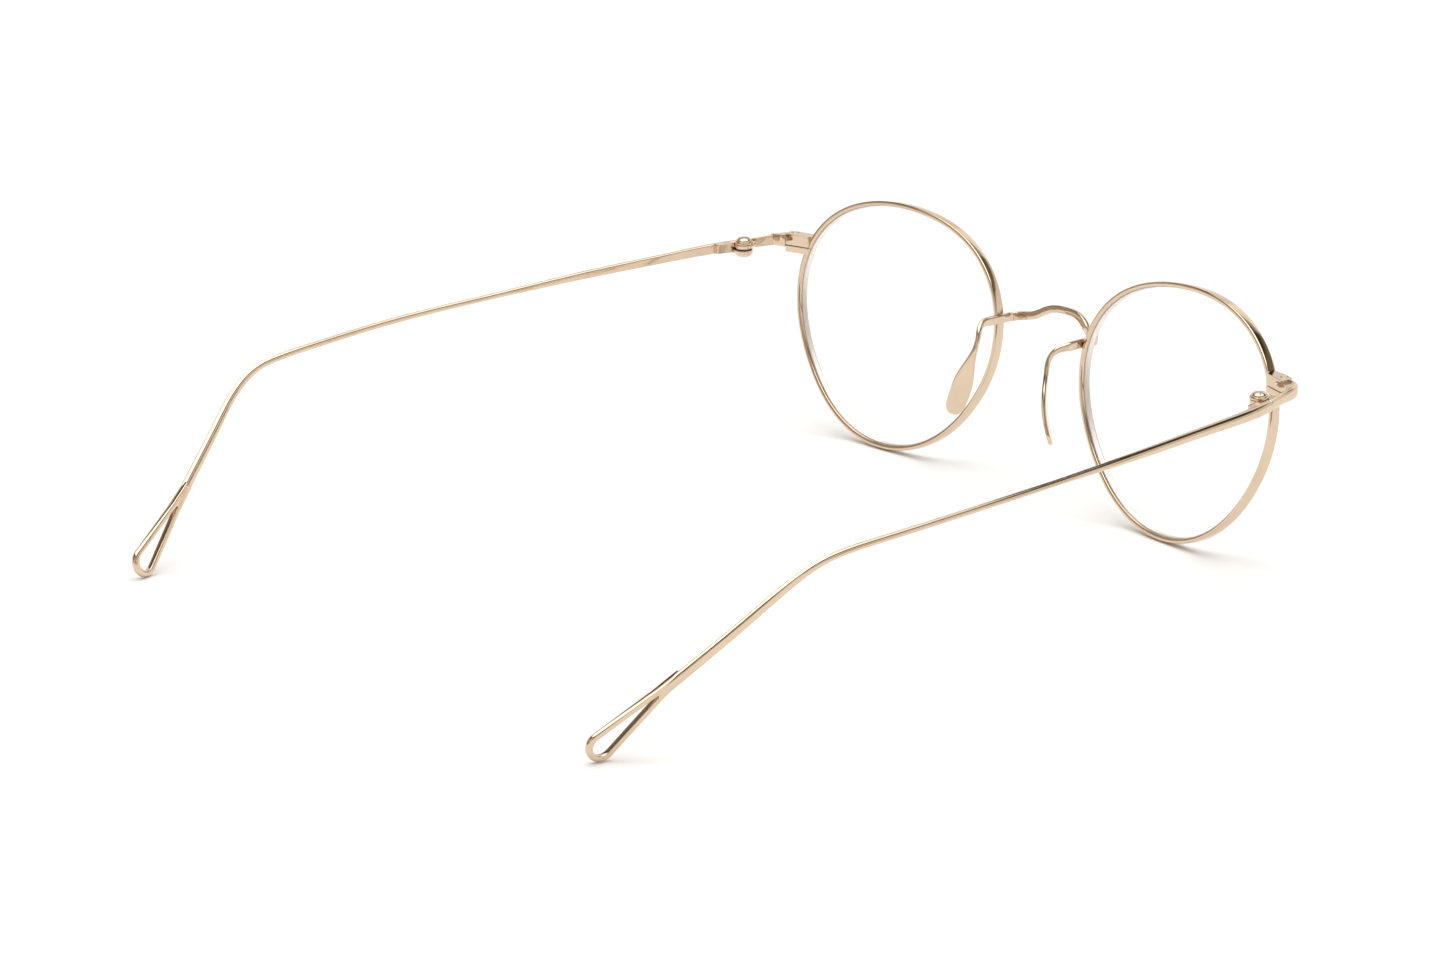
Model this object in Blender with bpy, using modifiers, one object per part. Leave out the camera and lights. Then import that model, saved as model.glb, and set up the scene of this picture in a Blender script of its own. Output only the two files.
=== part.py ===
"""Round metal eyeglasses, open, standing on the rims and the temple tips.

Units in the tables below are millimetres. +X is the wearer's left, +Y runs back along the temples and
+Z is up. Two datums are used. The SEAT datum lies midway between the lens centres with its axes parallel
to the world's. The FRONT datum shares that origin and leans with the lenses, by the pantoscopic tilt.
"""

import math

import bmesh
import bpy
import numpy as np
from mathutils import Matrix, Vector

MM = 0.001
NAME = "eyeglasses"

# ---- driving dimensions -------------------------------------------------------------------------------
SEAT_Y = -68.0              # lens centres in front of the middle of the open glasses
SEAT_Z = 21.22              # lens centres above the table
PANTOSCOPIC_TILT = 9.0      # degrees, top of the lenses forward
FACE_FORM = 3.64            # degrees, outer side of each lens swept back
LENS_CENTRE_X = 34.25       # half the distance between lens centres
BASE_CURVE_RADIUS = 130.7   # radius of the lens surfaces

RIM_WIDTH = 1.92            # front to back
RIM_THICKNESS = 0.82        # measured outwards from the eye
RIM_EDGE = 0.12             # small chamfer on the rim's long edges
GROOVE_DEPTH = 0.50
GROOVE_HALF_WIDTH = 0.50
GROOVE_CENTRE = -0.10       # slightly in front of the rim's middle
RIM_SPLIT_ANGLE = 21.3      # degrees above the horizontal, at the closing blocks
RIM_SPLIT_GAP = 0.14
STATIONS = 60               # points round a rim or a lens
LENS_EDGE_GAP = 0.07

# (plan position) of the closing screw and of the hinge axis, in the seat datum
CLOSING_X, CLOSING_Y = 59.47, 2.95
HINGE_X, HINGE_Y = 62.79, 11.65

UPPER_BLOCK_Z = (9.28, 11.25)
LOWER_BLOCK_Z = (8.04, 9.18)
CLOSING_SCREW_RADIUS = 0.62
CLOSING_HEAD_RADIUS = 0.85
CLOSING_HEAD_DEPTH = 0.45
CLOSING_END_DEPTH = 0.03    # the screw's end lies this far below the upper block's top
CLOSING_HEAD_SINK = 0.05    # the screw's head lies this far inside the lower block
CLOSING_SLOT = (0.25, 3.0, 0.28)   # width, length and depth from the lower face

KNUCKLE_RADIUS = 1.50
UPPER_KNUCKLE_Z = (9.43, 10.14)
LOWER_KNUCKLE_Z = (7.80, 9.18)
HINGE_HEAD_RADIUS = 1.56
HINGE_HEAD_TOP_Z = 11.35
HINGE_SHANK_RADIUS = 0.62
HINGE_SHANK_END_Z = 8.40
HINGE_HEAD_SIDE = 0.45      # height of the head's upright side, below its dome
HINGE_SLOT = (0.30, 5.0, 0.32)     # width, length and depth from the top of the dome
HEAD_ROOM = 0.12            # space between the head and the temple's cheek
BORE_END_DEPTH = 0.10       # the bore goes this far below the screw's end
RUNNING_GAP = 0.04
WASHER_INSET = 0.15         # the washer is this much smaller than the knuckles
FACE_GAP = 0.05             # between pieces that bear on each other

END_STRIP_THICKNESS = 1.0
SEAM_GAP = 0.14
HINGE_BLOCK_LENGTH = 4.30   # from the seam back to where the block is soldered to the temple
TIP_PLATE_THICKNESS = 1.08
SLOT_RADIUS = 1.47
LOOP_WALL = 1.05

CIRCLE_STEPS = 24

# Heights, in the seat datum, that reach past everything a cutter has to go through.
THROUGH_Z = (6.0, 13.0)
DRIVER_SLOT_ANGLE = 35.0    # degrees, in plan


# ---- scene helpers ------------------------------------------------------------------------------------
def clear_scene():
    for item in list(bpy.data.objects):
        bpy.data.objects.remove(item, do_unlink=True)


def new_collection(name):
    collection = bpy.data.collections.new(name)
    bpy.context.scene.collection.children.link(collection)
    return collection


def new_empty(name, collection, location=(0, 0, 0), parent=None, tilt=0.0):
    empty = bpy.data.objects.new(name, None)
    empty.empty_display_size = 5 * MM
    empty.location = Vector(location) * MM
    empty.rotation_euler = (math.radians(tilt), 0, 0)
    empty.parent = parent
    collection.objects.link(empty)
    return empty


def new_material(name, color, roughness, metallic, alpha=1.0):
    material = bpy.data.materials.new(name)
    material.use_nodes = True
    shader = material.node_tree.nodes["Principled BSDF"]
    shader.inputs["Base Color"].default_value = (*color, 1.0)
    shader.inputs["Roughness"].default_value = roughness
    shader.inputs["Metallic"].default_value = metallic
    shader.inputs["Alpha"].default_value = alpha
    material.diffuse_color = (*color, alpha)
    return material


def new_object(name, mesh, collection, parent, material, smooth_angle=35):
    item = bpy.data.objects.new(name, mesh)
    collection.objects.link(item)
    item.parent = parent
    mesh.materials.clear()
    mesh.materials.append(material)
    mesh.shade_smooth()
    mesh.set_sharp_from_angle(angle=math.radians(smooth_angle))
    return item


def add_boolean(target, cutter, operation="DIFFERENCE"):
    modifier = target.modifiers.new(cutter.name, "BOOLEAN")
    modifier.object = cutter
    modifier.operation = operation
    modifier.solver = "EXACT"


def as_cutter(item, cutters):
    for collection in list(item.users_collection):
        collection.objects.unlink(item)
    cutters.objects.link(item)
    item.hide_render = True
    item.display_type = "WIRE"


# ---- geometry helpers ---------------------------------------------------------------------------------
def spline_points(knots, parameter, samples):
    """Natural cubic spline through the knots, sampled at values of the increasing parameter."""
    knots = np.asarray(knots, float)
    t = np.asarray(parameter, float)
    n = len(t)
    h = np.diff(t)
    system = np.eye(n)
    right = np.zeros((n, knots.shape[1]))
    slope = np.diff(knots, axis=0) / h[:, None]
    for i in range(1, n - 1):
        system[i, i - 1] = h[i - 1]
        system[i, i] = 2 * (h[i - 1] + h[i])
        system[i, i + 1] = h[i]
        right[i] = 6 * (slope[i] - slope[i - 1])
    bend = np.linalg.solve(system, right)
    i = np.clip(np.searchsorted(t, samples) - 1, 0, n - 2)
    s = np.asarray(samples)
    a = ((t[i + 1] - s) / h[i])[:, None]
    b = 1 - a
    size = (h[i] ** 2 / 6)[:, None]
    return a * knots[i] + b * knots[i + 1] + size * ((a**3 - a) * bend[i] + (b**3 - b) * bend[i + 1])


def chord_lengths(points):
    steps = np.linalg.norm(np.diff(np.asarray(points, float), axis=0), axis=1)
    return np.concatenate([[0], np.cumsum(steps)])


def rounded_section(width, thickness, corner, steps=2):
    """Outline of a bar: (across the width, across the thickness), with arcs at its four corners."""
    corner = min(corner, 0.49 * min(width, thickness))
    points = []
    for quarter, (sx, sy) in enumerate(((1, 1), (-1, 1), (-1, -1), (1, -1))):
        for step in range(steps + 1):
            angle = math.pi / 2 * (quarter + step / steps)
            x = sx * (width / 2 - corner) + corner * math.cos(angle)
            y = sy * (thickness / 2 - corner) + corner * math.sin(angle)
            points.append((x, y))
    return points


def sweep_rings(path, tangents, wide, widths, thicknesses, corners):
    """Bar sections set square to the path; wide gives the rough direction of each section's width."""
    rings = []
    for point, tangent, across, w, t, c in zip(path, tangents, wide, widths, thicknesses, corners):
        tangent = tangent / np.linalg.norm(tangent)
        across = np.asarray(across, float)
        across = across - tangent * (across @ tangent)
        across = across / np.linalg.norm(across)
        normal = np.cross(tangent, across)
        rings.append([point + a * across + b * normal for a, b in rounded_section(w, t, c)])
    return rings


def loft_mesh(name, rings, origin=(0, 0, 0), side=1, closed=False):
    """Skin over rings with equal counts. Side -1 mirrors the piece to the wearer's right."""
    work = bmesh.new()
    base = Vector(origin)
    loops = []
    for ring in rings:
        loops.append([work.verts.new(((Vector(p) - base) * MM) * Vector((side, 1, 1))) for p in ring])
    count = len(loops[0])
    pairs = list(zip(loops, loops[1:]))
    if closed:
        pairs.append((loops[-1], loops[0]))
    for first, second in pairs:
        for i in range(count):
            j = (i + 1) % count
            work.faces.new((first[i], first[j], second[j], second[i]))
    if not closed:
        work.faces.new(loops[0])
        work.faces.new(loops[-1])
    bmesh.ops.recalc_face_normals(work, faces=work.faces)
    mesh = bpy.data.meshes.new(name)
    work.to_mesh(mesh)
    work.free()
    return mesh


def plate_mesh(name, outlines, half_thickness, matrix):
    """A flat outline, with any holes, drawn as a 2D curve, given its thickness and moved by matrix."""
    curve = bpy.data.curves.new(name, "CURVE")
    curve.dimensions = "2D"
    curve.fill_mode = "BOTH"
    curve.extrude = half_thickness * MM
    for outline in outlines:
        spline = curve.splines.new("POLY")
        spline.points.add(len(outline) - 1)
        for point, (x, y) in zip(spline.points, outline):
            point.co = (x * MM, y * MM, 0, 1)
        spline.use_cyclic_u = True
    drawing = bpy.data.objects.new(name, curve)
    bpy.context.scene.collection.objects.link(drawing)
    bpy.context.view_layer.update()
    graph = bpy.context.evaluated_depsgraph_get()
    mesh = bpy.data.meshes.new_from_object(drawing.evaluated_get(graph))
    bpy.data.objects.remove(drawing, do_unlink=True)
    mesh.transform(matrix)
    work = bmesh.new()
    work.from_mesh(mesh)
    bmesh.ops.remove_doubles(work, verts=work.verts, dist=0.0001 * MM)
    bmesh.ops.recalc_face_normals(work, faces=work.faces)
    work.to_mesh(mesh)
    work.free()
    return mesh


def upright_plate(name, outline, z_range, origin, side):
    """A plan outline given its height in the seat datum, kept relative to origin."""
    low, high = z_range
    shift = Vector((-origin[0] * side, -origin[1], (low + high) / 2 - origin[2])) * MM
    flat = [(x * side, y) for x, y in outline]
    return plate_mesh(name, [flat], (high - low) / 2, Matrix.Translation(shift))


def cylinder_mesh(name, radius, z_range, centre, origin, side, steps=CIRCLE_STEPS):
    low, high = z_range
    work = bmesh.new()
    bmesh.ops.create_cone(
        work,
        cap_ends=True,
        segments=steps,
        radius1=radius * MM,
        radius2=radius * MM,
        depth=(high - low) * MM,
    )
    place = Vector(((centre[0] - origin[0]) * side, centre[1] - origin[1], (low + high) / 2 - origin[2]))
    bmesh.ops.translate(work, verts=work.verts, vec=place * MM)
    mesh = bpy.data.meshes.new(name)
    work.to_mesh(mesh)
    work.free()
    return mesh


def turned_object(name, profile, collection, parent, material, location):
    """A profile of (radius, height) from the top of the axis to its bottom, spun about Z."""
    mesh = bpy.data.meshes.new(name)
    points = [(r * MM, 0, z * MM) for r, z in profile]
    mesh.from_pydata(points, [(i, i + 1) for i in range(len(points) - 1)], [])
    item = bpy.data.objects.new(name, mesh)
    collection.objects.link(item)
    item.parent = parent
    item.location = Vector(location) * MM
    mesh.materials.append(material)
    screw = item.modifiers.new("turn", "SCREW")
    screw.steps = CIRCLE_STEPS
    screw.render_steps = CIRCLE_STEPS
    screw.use_merge_vertices = True
    screw.merge_threshold = 0.001 * MM
    screw.use_smooth_shade = True
    return item


def arc_points(cx, cy, radius, start, end, steps):
    """Points on an arc from the start angle to the end angle, in degrees."""
    angles = np.radians(np.linspace(start, end, steps + 1))
    return [(cx + radius * math.cos(a), cy + radius * math.sin(a)) for a in angles]


def dome_profile(radius, rim_z, crown_z, steps=5):
    """Quarter-ellipse from the crown on the axis down to the rim."""
    angles = np.linspace(0, math.pi / 2, steps + 1)
    return [(radius * math.sin(a), rim_z + (crown_z - rim_z) * math.cos(a)) for a in angles]


# ---- the eye shape ------------------------------------------------------------------------------------
def rim_radius(angle):
    """Outer radius of the rim, for an angle measured from the temple side upwards."""
    return (
        22.31
        + 1.42 * math.cos(2 * angle)
        - 0.12 * math.cos(3 * angle)
        + 0.844 * math.sin(3 * angle)
        + 0.095 * math.sin(5 * angle)
    )


def eye_point(angle, radius, depth):
    """Point of the left eye in the front datum; depth runs back from the lens's curved middle surface."""
    u = radius * math.cos(angle)
    v = radius * math.sin(angle)
    back = radius**2 / (2 * BASE_CURVE_RADIUS) + depth
    wrap = math.radians(FACE_FORM)
    x = LENS_CENTRE_X + u * math.cos(wrap) - back * math.sin(wrap)
    y = u * math.sin(wrap) + back * math.cos(wrap)
    return (x, y, v)


def station_angles():
    half_gap = RIM_SPLIT_GAP / 2 / rim_radius(math.radians(RIM_SPLIT_ANGLE))
    start = math.radians(RIM_SPLIT_ANGLE) + half_gap
    end = math.radians(RIM_SPLIT_ANGLE) + 2 * math.pi - half_gap
    return np.linspace(start, end, STATIONS + 1)


def rim_section():
    """(inset from the outer radius, depth) round the rim's section, with the groove that holds the lens."""
    half = RIM_WIDTH / 2
    edge = RIM_EDGE
    inner = RIM_THICKNESS
    return [
        (0, -half + edge),
        (edge, -half),
        (inner - edge, -half),
        (inner, -half + edge),
        (inner, GROOVE_CENTRE - GROOVE_HALF_WIDTH),
        (inner - GROOVE_DEPTH, GROOVE_CENTRE),
        (inner, GROOVE_CENTRE + GROOVE_HALF_WIDTH),
        (inner, half - edge),
        (inner - edge, half),
        (edge, half),
        (0, half - edge),
    ]


def rim_mesh(side):
    rings = []
    for angle in station_angles():
        radius = rim_radius(angle)
        rings.append([eye_point(angle, radius - inset, depth) for inset, depth in rim_section()])
    return loft_mesh("rim", rings, side=side)


def rim_clearance_mesh(side):
    """The rim's envelope with a small gap all round, used to fit the closing blocks to it."""
    half = RIM_WIDTH / 2 + FACE_GAP
    rings = []
    for angle in np.linspace(0, 2 * math.pi, STATIONS * 2, endpoint=False):
        outer = rim_radius(angle) + FACE_GAP
        inner = outer - 3 * RIM_THICKNESS
        corners = ((outer, -half), (outer, half), (inner, half), (inner, -half))
        rings.append([eye_point(angle, radius, depth) for radius, depth in corners])
    return loft_mesh("rim_clearance", rings, side=side, closed=True)


def lens_mesh(side):
    """A curved disc with a V edge that sits in the rim's groove."""
    front = GROOVE_CENTRE - GROOVE_HALF_WIDTH
    back = GROOVE_CENTRE + GROOVE_HALF_WIDTH
    face_inset = RIM_THICKNESS + LENS_EDGE_GAP
    edge_inset = face_inset - GROOVE_DEPTH
    fractions = (0.3, 0.6, 0.85, 1.0)
    angles = station_angles()[:-1]
    rings = []
    for fraction in fractions:
        rings.append([eye_point(a, (rim_radius(a) - face_inset) * fraction, front) for a in angles])
    rings.append([eye_point(a, rim_radius(a) - edge_inset, GROOVE_CENTRE) for a in angles])
    for fraction in reversed(fractions):
        rings.append([eye_point(a, (rim_radius(a) - face_inset) * fraction, back) for a in angles])
    return loft_mesh("lens", rings, side=side)


# ---- bridge with nose pads ----------------------------------------------------------------------------
# Left half of one continuous flat strip, in the front datum:
# point, width, thickness, corner, width direction.
BRIDGE_ROUTE = [
    ((0.00, -4.35, 8.85), 1.25, 0.95, 0.20, (0, 0, 1)),
    ((2.70, -4.05, 8.68), 1.30, 0.95, 0.20, (0, 0, 1)),
    ((4.60, -3.65, 8.00), 1.38, 0.95, 0.20, (0, 0, 1)),
    ((6.20, -3.20, 7.05), 1.42, 0.95, 0.20, (0, 0, 1)),
    ((8.00, -2.50, 6.52), 1.45, 0.95, 0.20, (0, 0, 1)),
    ((9.55, -2.05, 6.15), 1.50, 0.92, 0.20, (0, 0, 1)),
    ((10.12, -0.95, 5.90), 1.55, 0.88, 0.20, (0, 0, 1)),
    ((9.90, 1.20, 5.65), 1.55, 0.88, 0.25, (0, 0, 1)),
    ((10.05, 3.55, 5.32), 1.55, 1.00, 0.35, (0, 0, 1)),
    ((10.05, 4.55, 5.15), 1.50, 1.00, 0.40, (0, 0, 1)),
    ((9.35, 6.20, 4.45), 1.15, 0.95, 0.45, (0, 0.6, 0.8)),
    ((8.65, 7.00, 2.80), 0.85, 0.90, 0.42, (0.5, 0.85, 0.1)),
    ((8.75, 7.30, 0.80), 0.90, 0.85, 0.35, (0.62, 0.76, 0.14)),
    ((9.13, 7.62, -1.20), 1.60, 0.75, 0.25, (0.62, 0.76, 0.14)),
    ((9.55, 7.83, -3.15), 2.80, 0.72, 0.22, (0.62, 0.76, 0.14)),
    ((10.03, 7.90, -5.10), 3.45, 0.72, 0.22, (0.62, 0.76, 0.14)),
    ((10.62, 7.85, -7.00), 3.50, 0.72, 0.22, (0.62, 0.76, 0.14)),
    ((11.38, 7.66, -8.95), 3.20, 0.70, 0.22, (0.62, 0.76, 0.14)),
]
PAD_END_RADIUS = 1.90
PAD_END_STEPS = 5
BRIDGE_SAMPLES = 38


def bridge_rings():
    """Sections from the middle of the bridge, over the shoulder and down the arm to the end of the pad."""
    points = [row[0] for row in BRIDGE_ROUTE]
    length = chord_lengths(points)
    samples = np.linspace(0, length[-1], BRIDGE_SAMPLES)
    path = spline_points(points, length, samples)
    sizes = np.array([row[1:4] for row in BRIDGE_ROUTE])
    columns = [np.interp(samples, length, sizes[:, k]) for k in range(3)]
    wide = np.stack([np.interp(samples, length, [row[4][k] for row in BRIDGE_ROUTE]) for k in range(3)], 1)
    rings = sweep_rings(path, np.gradient(path, axis=0), wide, *columns)
    heading = path[-1] - path[-2]
    heading = heading / np.linalg.norm(heading)
    last = np.array(rings[-1])
    centre = last.mean(axis=0)
    for step in range(1, PAD_END_STEPS + 1):
        angle = math.pi / 2 * step / (PAD_END_STEPS + 0.4)
        ring = centre + (last - centre) * math.cos(angle) + heading * PAD_END_RADIUS * math.sin(angle)
        rings.append(list(ring))
    return rings


def bridge_mesh():
    left = bridge_rings()
    right = [[(-p[0], p[1], p[2]) for p in ring] for ring in left[:0:-1]]
    return loft_mesh("bridge_with_nose_pads", right + left)


# ---- closing blocks, end pieces and hinges --------------------------------------------------------------
# Plan outline of the closing block, in the seat datum, from the rim's front edge round the outer end.
BLOCK_EDGE = 0.10
BLOCK_OUTLINE = [
    (54.90, 1.45),
    (55.75, 1.40),
    (57.50, 1.42),
    (59.00, 1.75),
    (60.60, 2.30),
    (60.85, 2.75),
    (60.55, 4.20),
    (60.20, 4.60),
    (55.80, 3.35),
    (55.80, 2.80),
    (54.90, 2.60),
]
# Middle of the end piece's strip in plan, from inside the closing block to the seam.
STRIP_ROUTE = [(60.20, 2.40), (61.40, 2.65), (62.62, 3.78), (63.42, 6.00), (64.30, 8.95), (65.22, 11.58)]
# Top and underside of the strip at each of those points.
STRIP_TOP_Z = (10.95, 10.90, 10.76, 10.62, 10.48, 10.38)
STRIP_BOTTOM_Z = (8.75, 8.72, 8.70, 8.68, 8.68, 8.68)


STRIP_CORNER = 0.2
# Plan of the root that fills the corner between the closing block and the strip.
ROOT_OUTLINE = [
    (60.30, 2.45),
    (61.40, 2.65),
    (62.50, 3.80),
    (63.10, 5.40),
    (62.55, 5.10),
    (62.05, 4.80),
    (61.30, 4.55),
    (60.30, 4.50),
]
ROOT_Z = (8.80, 10.66)
# Plan of the concave web that joins each knuckle to its own half of the hinge.
UPPER_WEB = [(61.75, 10.30), (62.35, 9.45), (62.95, 8.85), (63.55, 8.25), (64.15, 9.00), (65.05, 11.45)]
LOWER_WEB = [(64.35, 11.75), (65.30, 11.75), (65.60, 13.40), (64.60, 13.40)]
LOWER_WEB_Z = 8.62
LOWER_DISC_SHARE = 0.97     # the web's disc stays just inside the turned knuckle
# Plan of the hinge block's inner cheek, which closes round the screw's head.
CHEEK_OUTLINE = [
    (64.30, 12.30),
    (65.30, 12.30),
    (65.80, 15.95),
    (64.62, 15.95),
    (63.90, 12.60),
]
CHEEK_Z = (8.66, 10.28)
BLOCK_MIDDLE = (58, 3)


def strip_rings():
    length = chord_lengths(STRIP_ROUTE)
    samples = np.linspace(0, length[-1], 17)
    plan = spline_points(STRIP_ROUTE, length, samples)
    top = np.interp(samples, length, STRIP_TOP_Z)
    bottom = np.interp(samples, length, STRIP_BOTTOM_Z)
    path = np.column_stack([plan, (top + bottom) / 2])
    count = len(samples)
    rings = sweep_rings(
        path,
        np.gradient(path, axis=0),
        [(0, 0, 1)] * count,
        top - bottom,
        [END_STRIP_THICKNESS] * count,
        [STRIP_CORNER] * count,
    )
    return rings


def knuckle_web_outline():
    """Plan of the eye that the end piece carries: a disc with a concave web back to the strip."""
    return arc_points(HINGE_X, HINGE_Y, KNUCKLE_RADIUS, 20, 200, 14) + UPPER_WEB


def end_piece(side, left_or_right, parts, cutters, seat, metal):
    mesh = loft_mesh("end_piece", strip_rings(), side=side)
    item = new_object(left_or_right + "end_piece", mesh, parts, seat, metal)
    web_mesh = upright_plate("web", knuckle_web_outline(), UPPER_KNUCKLE_Z, (0, 0, 0), side)
    web = new_object(left_or_right + "knuckle_web", web_mesh, parts, seat, metal)
    as_cutter(web, cutters)
    add_boolean(item, web, "UNION")
    root_mesh = upright_plate("root", ROOT_OUTLINE, ROOT_Z, (0, 0, 0), side)
    root = new_object(left_or_right + "root", root_mesh, parts, seat, metal)
    as_cutter(root, cutters)
    add_boolean(item, root, "UNION")
    middle_x, middle_y = BLOCK_MIDDLE
    grown = []
    for x, y in BLOCK_OUTLINE:
        grown.append((x + math.copysign(FACE_GAP, x - middle_x), y + math.copysign(FACE_GAP, y - middle_y)))
    block_mesh = upright_plate("block_space", grown, THROUGH_Z, (0, 0, 0), side)
    space = new_object(left_or_right + "block_space", block_mesh, parts, seat, metal)
    as_cutter(space, cutters)
    add_boolean(item, space)
    bore_radius = HINGE_SHANK_RADIUS + RUNNING_GAP
    bore_mesh = cylinder_mesh("bore", bore_radius, THROUGH_Z, (HINGE_X, HINGE_Y), (0, 0, 0), side)
    bore = new_object(left_or_right + "hinge_bore_front", bore_mesh, parts, seat, metal)
    as_cutter(bore, cutters)
    add_boolean(item, bore)
    return item


def closing_block(side, name, z_range, head, parts, cutters, seat, rim_space, metal):
    """Half of the block that closes the rim; the lower half is counterbored for the screw's head."""
    mesh = upright_plate(name, BLOCK_OUTLINE, z_range, (0, 0, 0), side)
    item = new_object(name, mesh, parts, seat, metal)
    edge = item.modifiers.new("edge", "BEVEL")
    edge.width = BLOCK_EDGE * MM
    edge.segments = 1
    edge.limit_method = "ANGLE"
    edge.angle_limit = math.radians(50)
    add_boolean(item, rim_space)
    centre = (CLOSING_X, CLOSING_Y)
    radius = CLOSING_SCREW_RADIUS + RUNNING_GAP
    bore_mesh = cylinder_mesh("bore", radius, THROUGH_Z, centre, (0, 0, 0), side)
    bore = new_object(name + "_bore", bore_mesh, parts, seat, metal)
    as_cutter(bore, cutters)
    add_boolean(item, bore)
    if head:
        top = z_range[0] + CLOSING_HEAD_DEPTH + RUNNING_GAP
        radius = CLOSING_HEAD_RADIUS + RUNNING_GAP
        sink_mesh = cylinder_mesh("sink", radius, (THROUGH_Z[0], top), centre, (0, 0, 0), side)
        sink = new_object(name + "_counterbore", sink_mesh, parts, seat, metal)
        as_cutter(sink, cutters)
        add_boolean(item, sink)
    return item


def screw_slot(name, width, length, z_range, cutters, parent, location):
    work = bmesh.new()
    size = Matrix.Diagonal(Vector((length, width, z_range[1] - z_range[0])) * MM).to_4x4()
    middle = Matrix.Translation(Vector((0, 0, (z_range[0] + z_range[1]) / 2)) * MM)
    bmesh.ops.create_cube(work, size=1.0, matrix=middle @ size)
    mesh = bpy.data.meshes.new(name)
    work.to_mesh(mesh)
    work.free()
    item = bpy.data.objects.new(name, mesh)
    cutters.objects.link(item)
    item.parent = parent
    item.location = Vector(location) * MM
    item.rotation_euler = (0, 0, math.radians(DRIVER_SLOT_ANGLE))
    item.hide_render = True
    item.display_type = "WIRE"
    return item


def closing_screw(side, left_or_right, parts, cutters, seat, metal):
    base = LOWER_BLOCK_Z[0]
    head_top = base + CLOSING_HEAD_DEPTH
    end = UPPER_BLOCK_Z[1] - CLOSING_END_DEPTH
    width, length, depth = CLOSING_SLOT
    profile = [
        (0, end),
        (CLOSING_SCREW_RADIUS, end),
        (CLOSING_SCREW_RADIUS, head_top),
        (CLOSING_HEAD_RADIUS, head_top),
        (CLOSING_HEAD_RADIUS, base + CLOSING_HEAD_SINK),
        (0, base + CLOSING_HEAD_SINK),
    ]
    place = (CLOSING_X * side, CLOSING_Y, 0)
    name = left_or_right + "rim_lock_screw"
    item = turned_object(name, profile, parts, seat, metal, place)
    slot = screw_slot(name + "_slot", width, length, (THROUGH_Z[0], base + depth), cutters, seat, place)
    add_boolean(item, slot)
    return item


def hinge_screw(left_or_right, parts, cutters, axis, metal):
    seat_z = UPPER_KNUCKLE_Z[1] + RUNNING_GAP
    side_z = seat_z + HINGE_HEAD_SIDE
    width, length, depth = HINGE_SLOT
    profile = dome_profile(HINGE_HEAD_RADIUS, side_z, HINGE_HEAD_TOP_Z)
    profile += [
        (HINGE_HEAD_RADIUS, seat_z),
        (HINGE_SHANK_RADIUS, seat_z),
        (HINGE_SHANK_RADIUS, HINGE_SHANK_END_Z),
        (0, HINGE_SHANK_END_Z),
    ]
    name = left_or_right + "hinge_screw"
    item = turned_object(name, profile, parts, axis, metal, (0, 0, 0))
    slot_z = (HINGE_HEAD_TOP_Z - depth, THROUGH_Z[1])
    slot = screw_slot(name + "_slot", width, length, slot_z, cutters, axis, (0, 0, 0))
    add_boolean(item, slot)
    return item


def hinge_washer(side, left_or_right, parts, seat, dark):
    """Thin ring between the two knuckles."""
    low = LOWER_KNUCKLE_Z[1] + RUNNING_GAP
    high = UPPER_KNUCKLE_Z[0] - RUNNING_GAP
    outer = arc_points(0, 0, KNUCKLE_RADIUS - WASHER_INSET, 0, 345, 23)
    inner = arc_points(0, 0, HINGE_SHANK_RADIUS + RUNNING_GAP, 0, 345, 23)
    place = Matrix.Translation(Vector((HINGE_X * side, HINGE_Y, (low + high) / 2)) * MM)
    mesh = plate_mesh("washer", [outer, inner], (high - low) / 2, place)
    return new_object(left_or_right + "hinge_washer", mesh, parts, seat, dark)


# ---- temples ------------------------------------------------------------------------------------------
# Middle of the left temple in the seat datum: point, height, thickness.
TEMPLE_ROUTE = [
    ((65.08, 11.65, 9.48), 1.85, 1.40),
    ((65.75, 14.00, 9.42), 1.82, 1.40),
    ((67.20, 24.20, 9.18), 1.55, 1.25),
    ((68.80, 39.70, 8.82), 1.38, 1.18),
    ((70.10, 60.30, 8.19), 0.95, 1.05),
    ((70.80, 81.00, 7.47), 1.02, 1.05),
    ((70.28, 96.50, 6.57), 1.06, 1.05),
    ((69.98, 104.80, 5.86), 1.10, 1.05),
    ((69.92, 108.00, 5.22), 1.15, 1.06),
    ((69.27, 112.40, 3.18), 1.35, 1.08),
    ((66.67, 119.33, -2.18), 1.50, 1.08),
    ((64.59, 124.02, -6.01), 1.60, 1.08),
    ((61.70, 130.50, -11.18), 1.70, 1.08),
]
TEMPLE_CORNER = 0.30
TEMPLE_SAMPLES = 48
LOOP_NECK = [(0.5, 1.00), (-2.0, 0.82), (-4.0, 0.68)]   # along and across, from the slot's apex forwards
SLOT_APEX = (61.45, 131.10, -11.60)
LOOP_END = (58.34, 139.78, -18.66)


def temple_rings(start, end, count, gather=0.0):
    """Sections from one length along the route to another; gather above 0 brings them closer at the end.

    The width lies square to the path, in the temple's own upright plane.
    """
    points = [row[0] for row in TEMPLE_ROUTE]
    length = chord_lengths(points)
    even = np.linspace(0, 1, count)
    samples = start + (end - start) * ((1 + gather) * even - gather * even**2)
    heights = np.interp(samples, length, [row[1] for row in TEMPLE_ROUTE])
    thicknesses = np.interp(samples, length, [row[2] for row in TEMPLE_ROUTE])
    path = spline_points(points, length, samples)
    tangents = spline_points(points, length, samples + 0.01) - spline_points(points, length, samples - 0.01)
    wide = np.cross((1.0, 0.0, 0.0), tangents)
    return sweep_rings(path, tangents, wide, heights, thicknesses, [TEMPLE_CORNER] * count)


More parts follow.
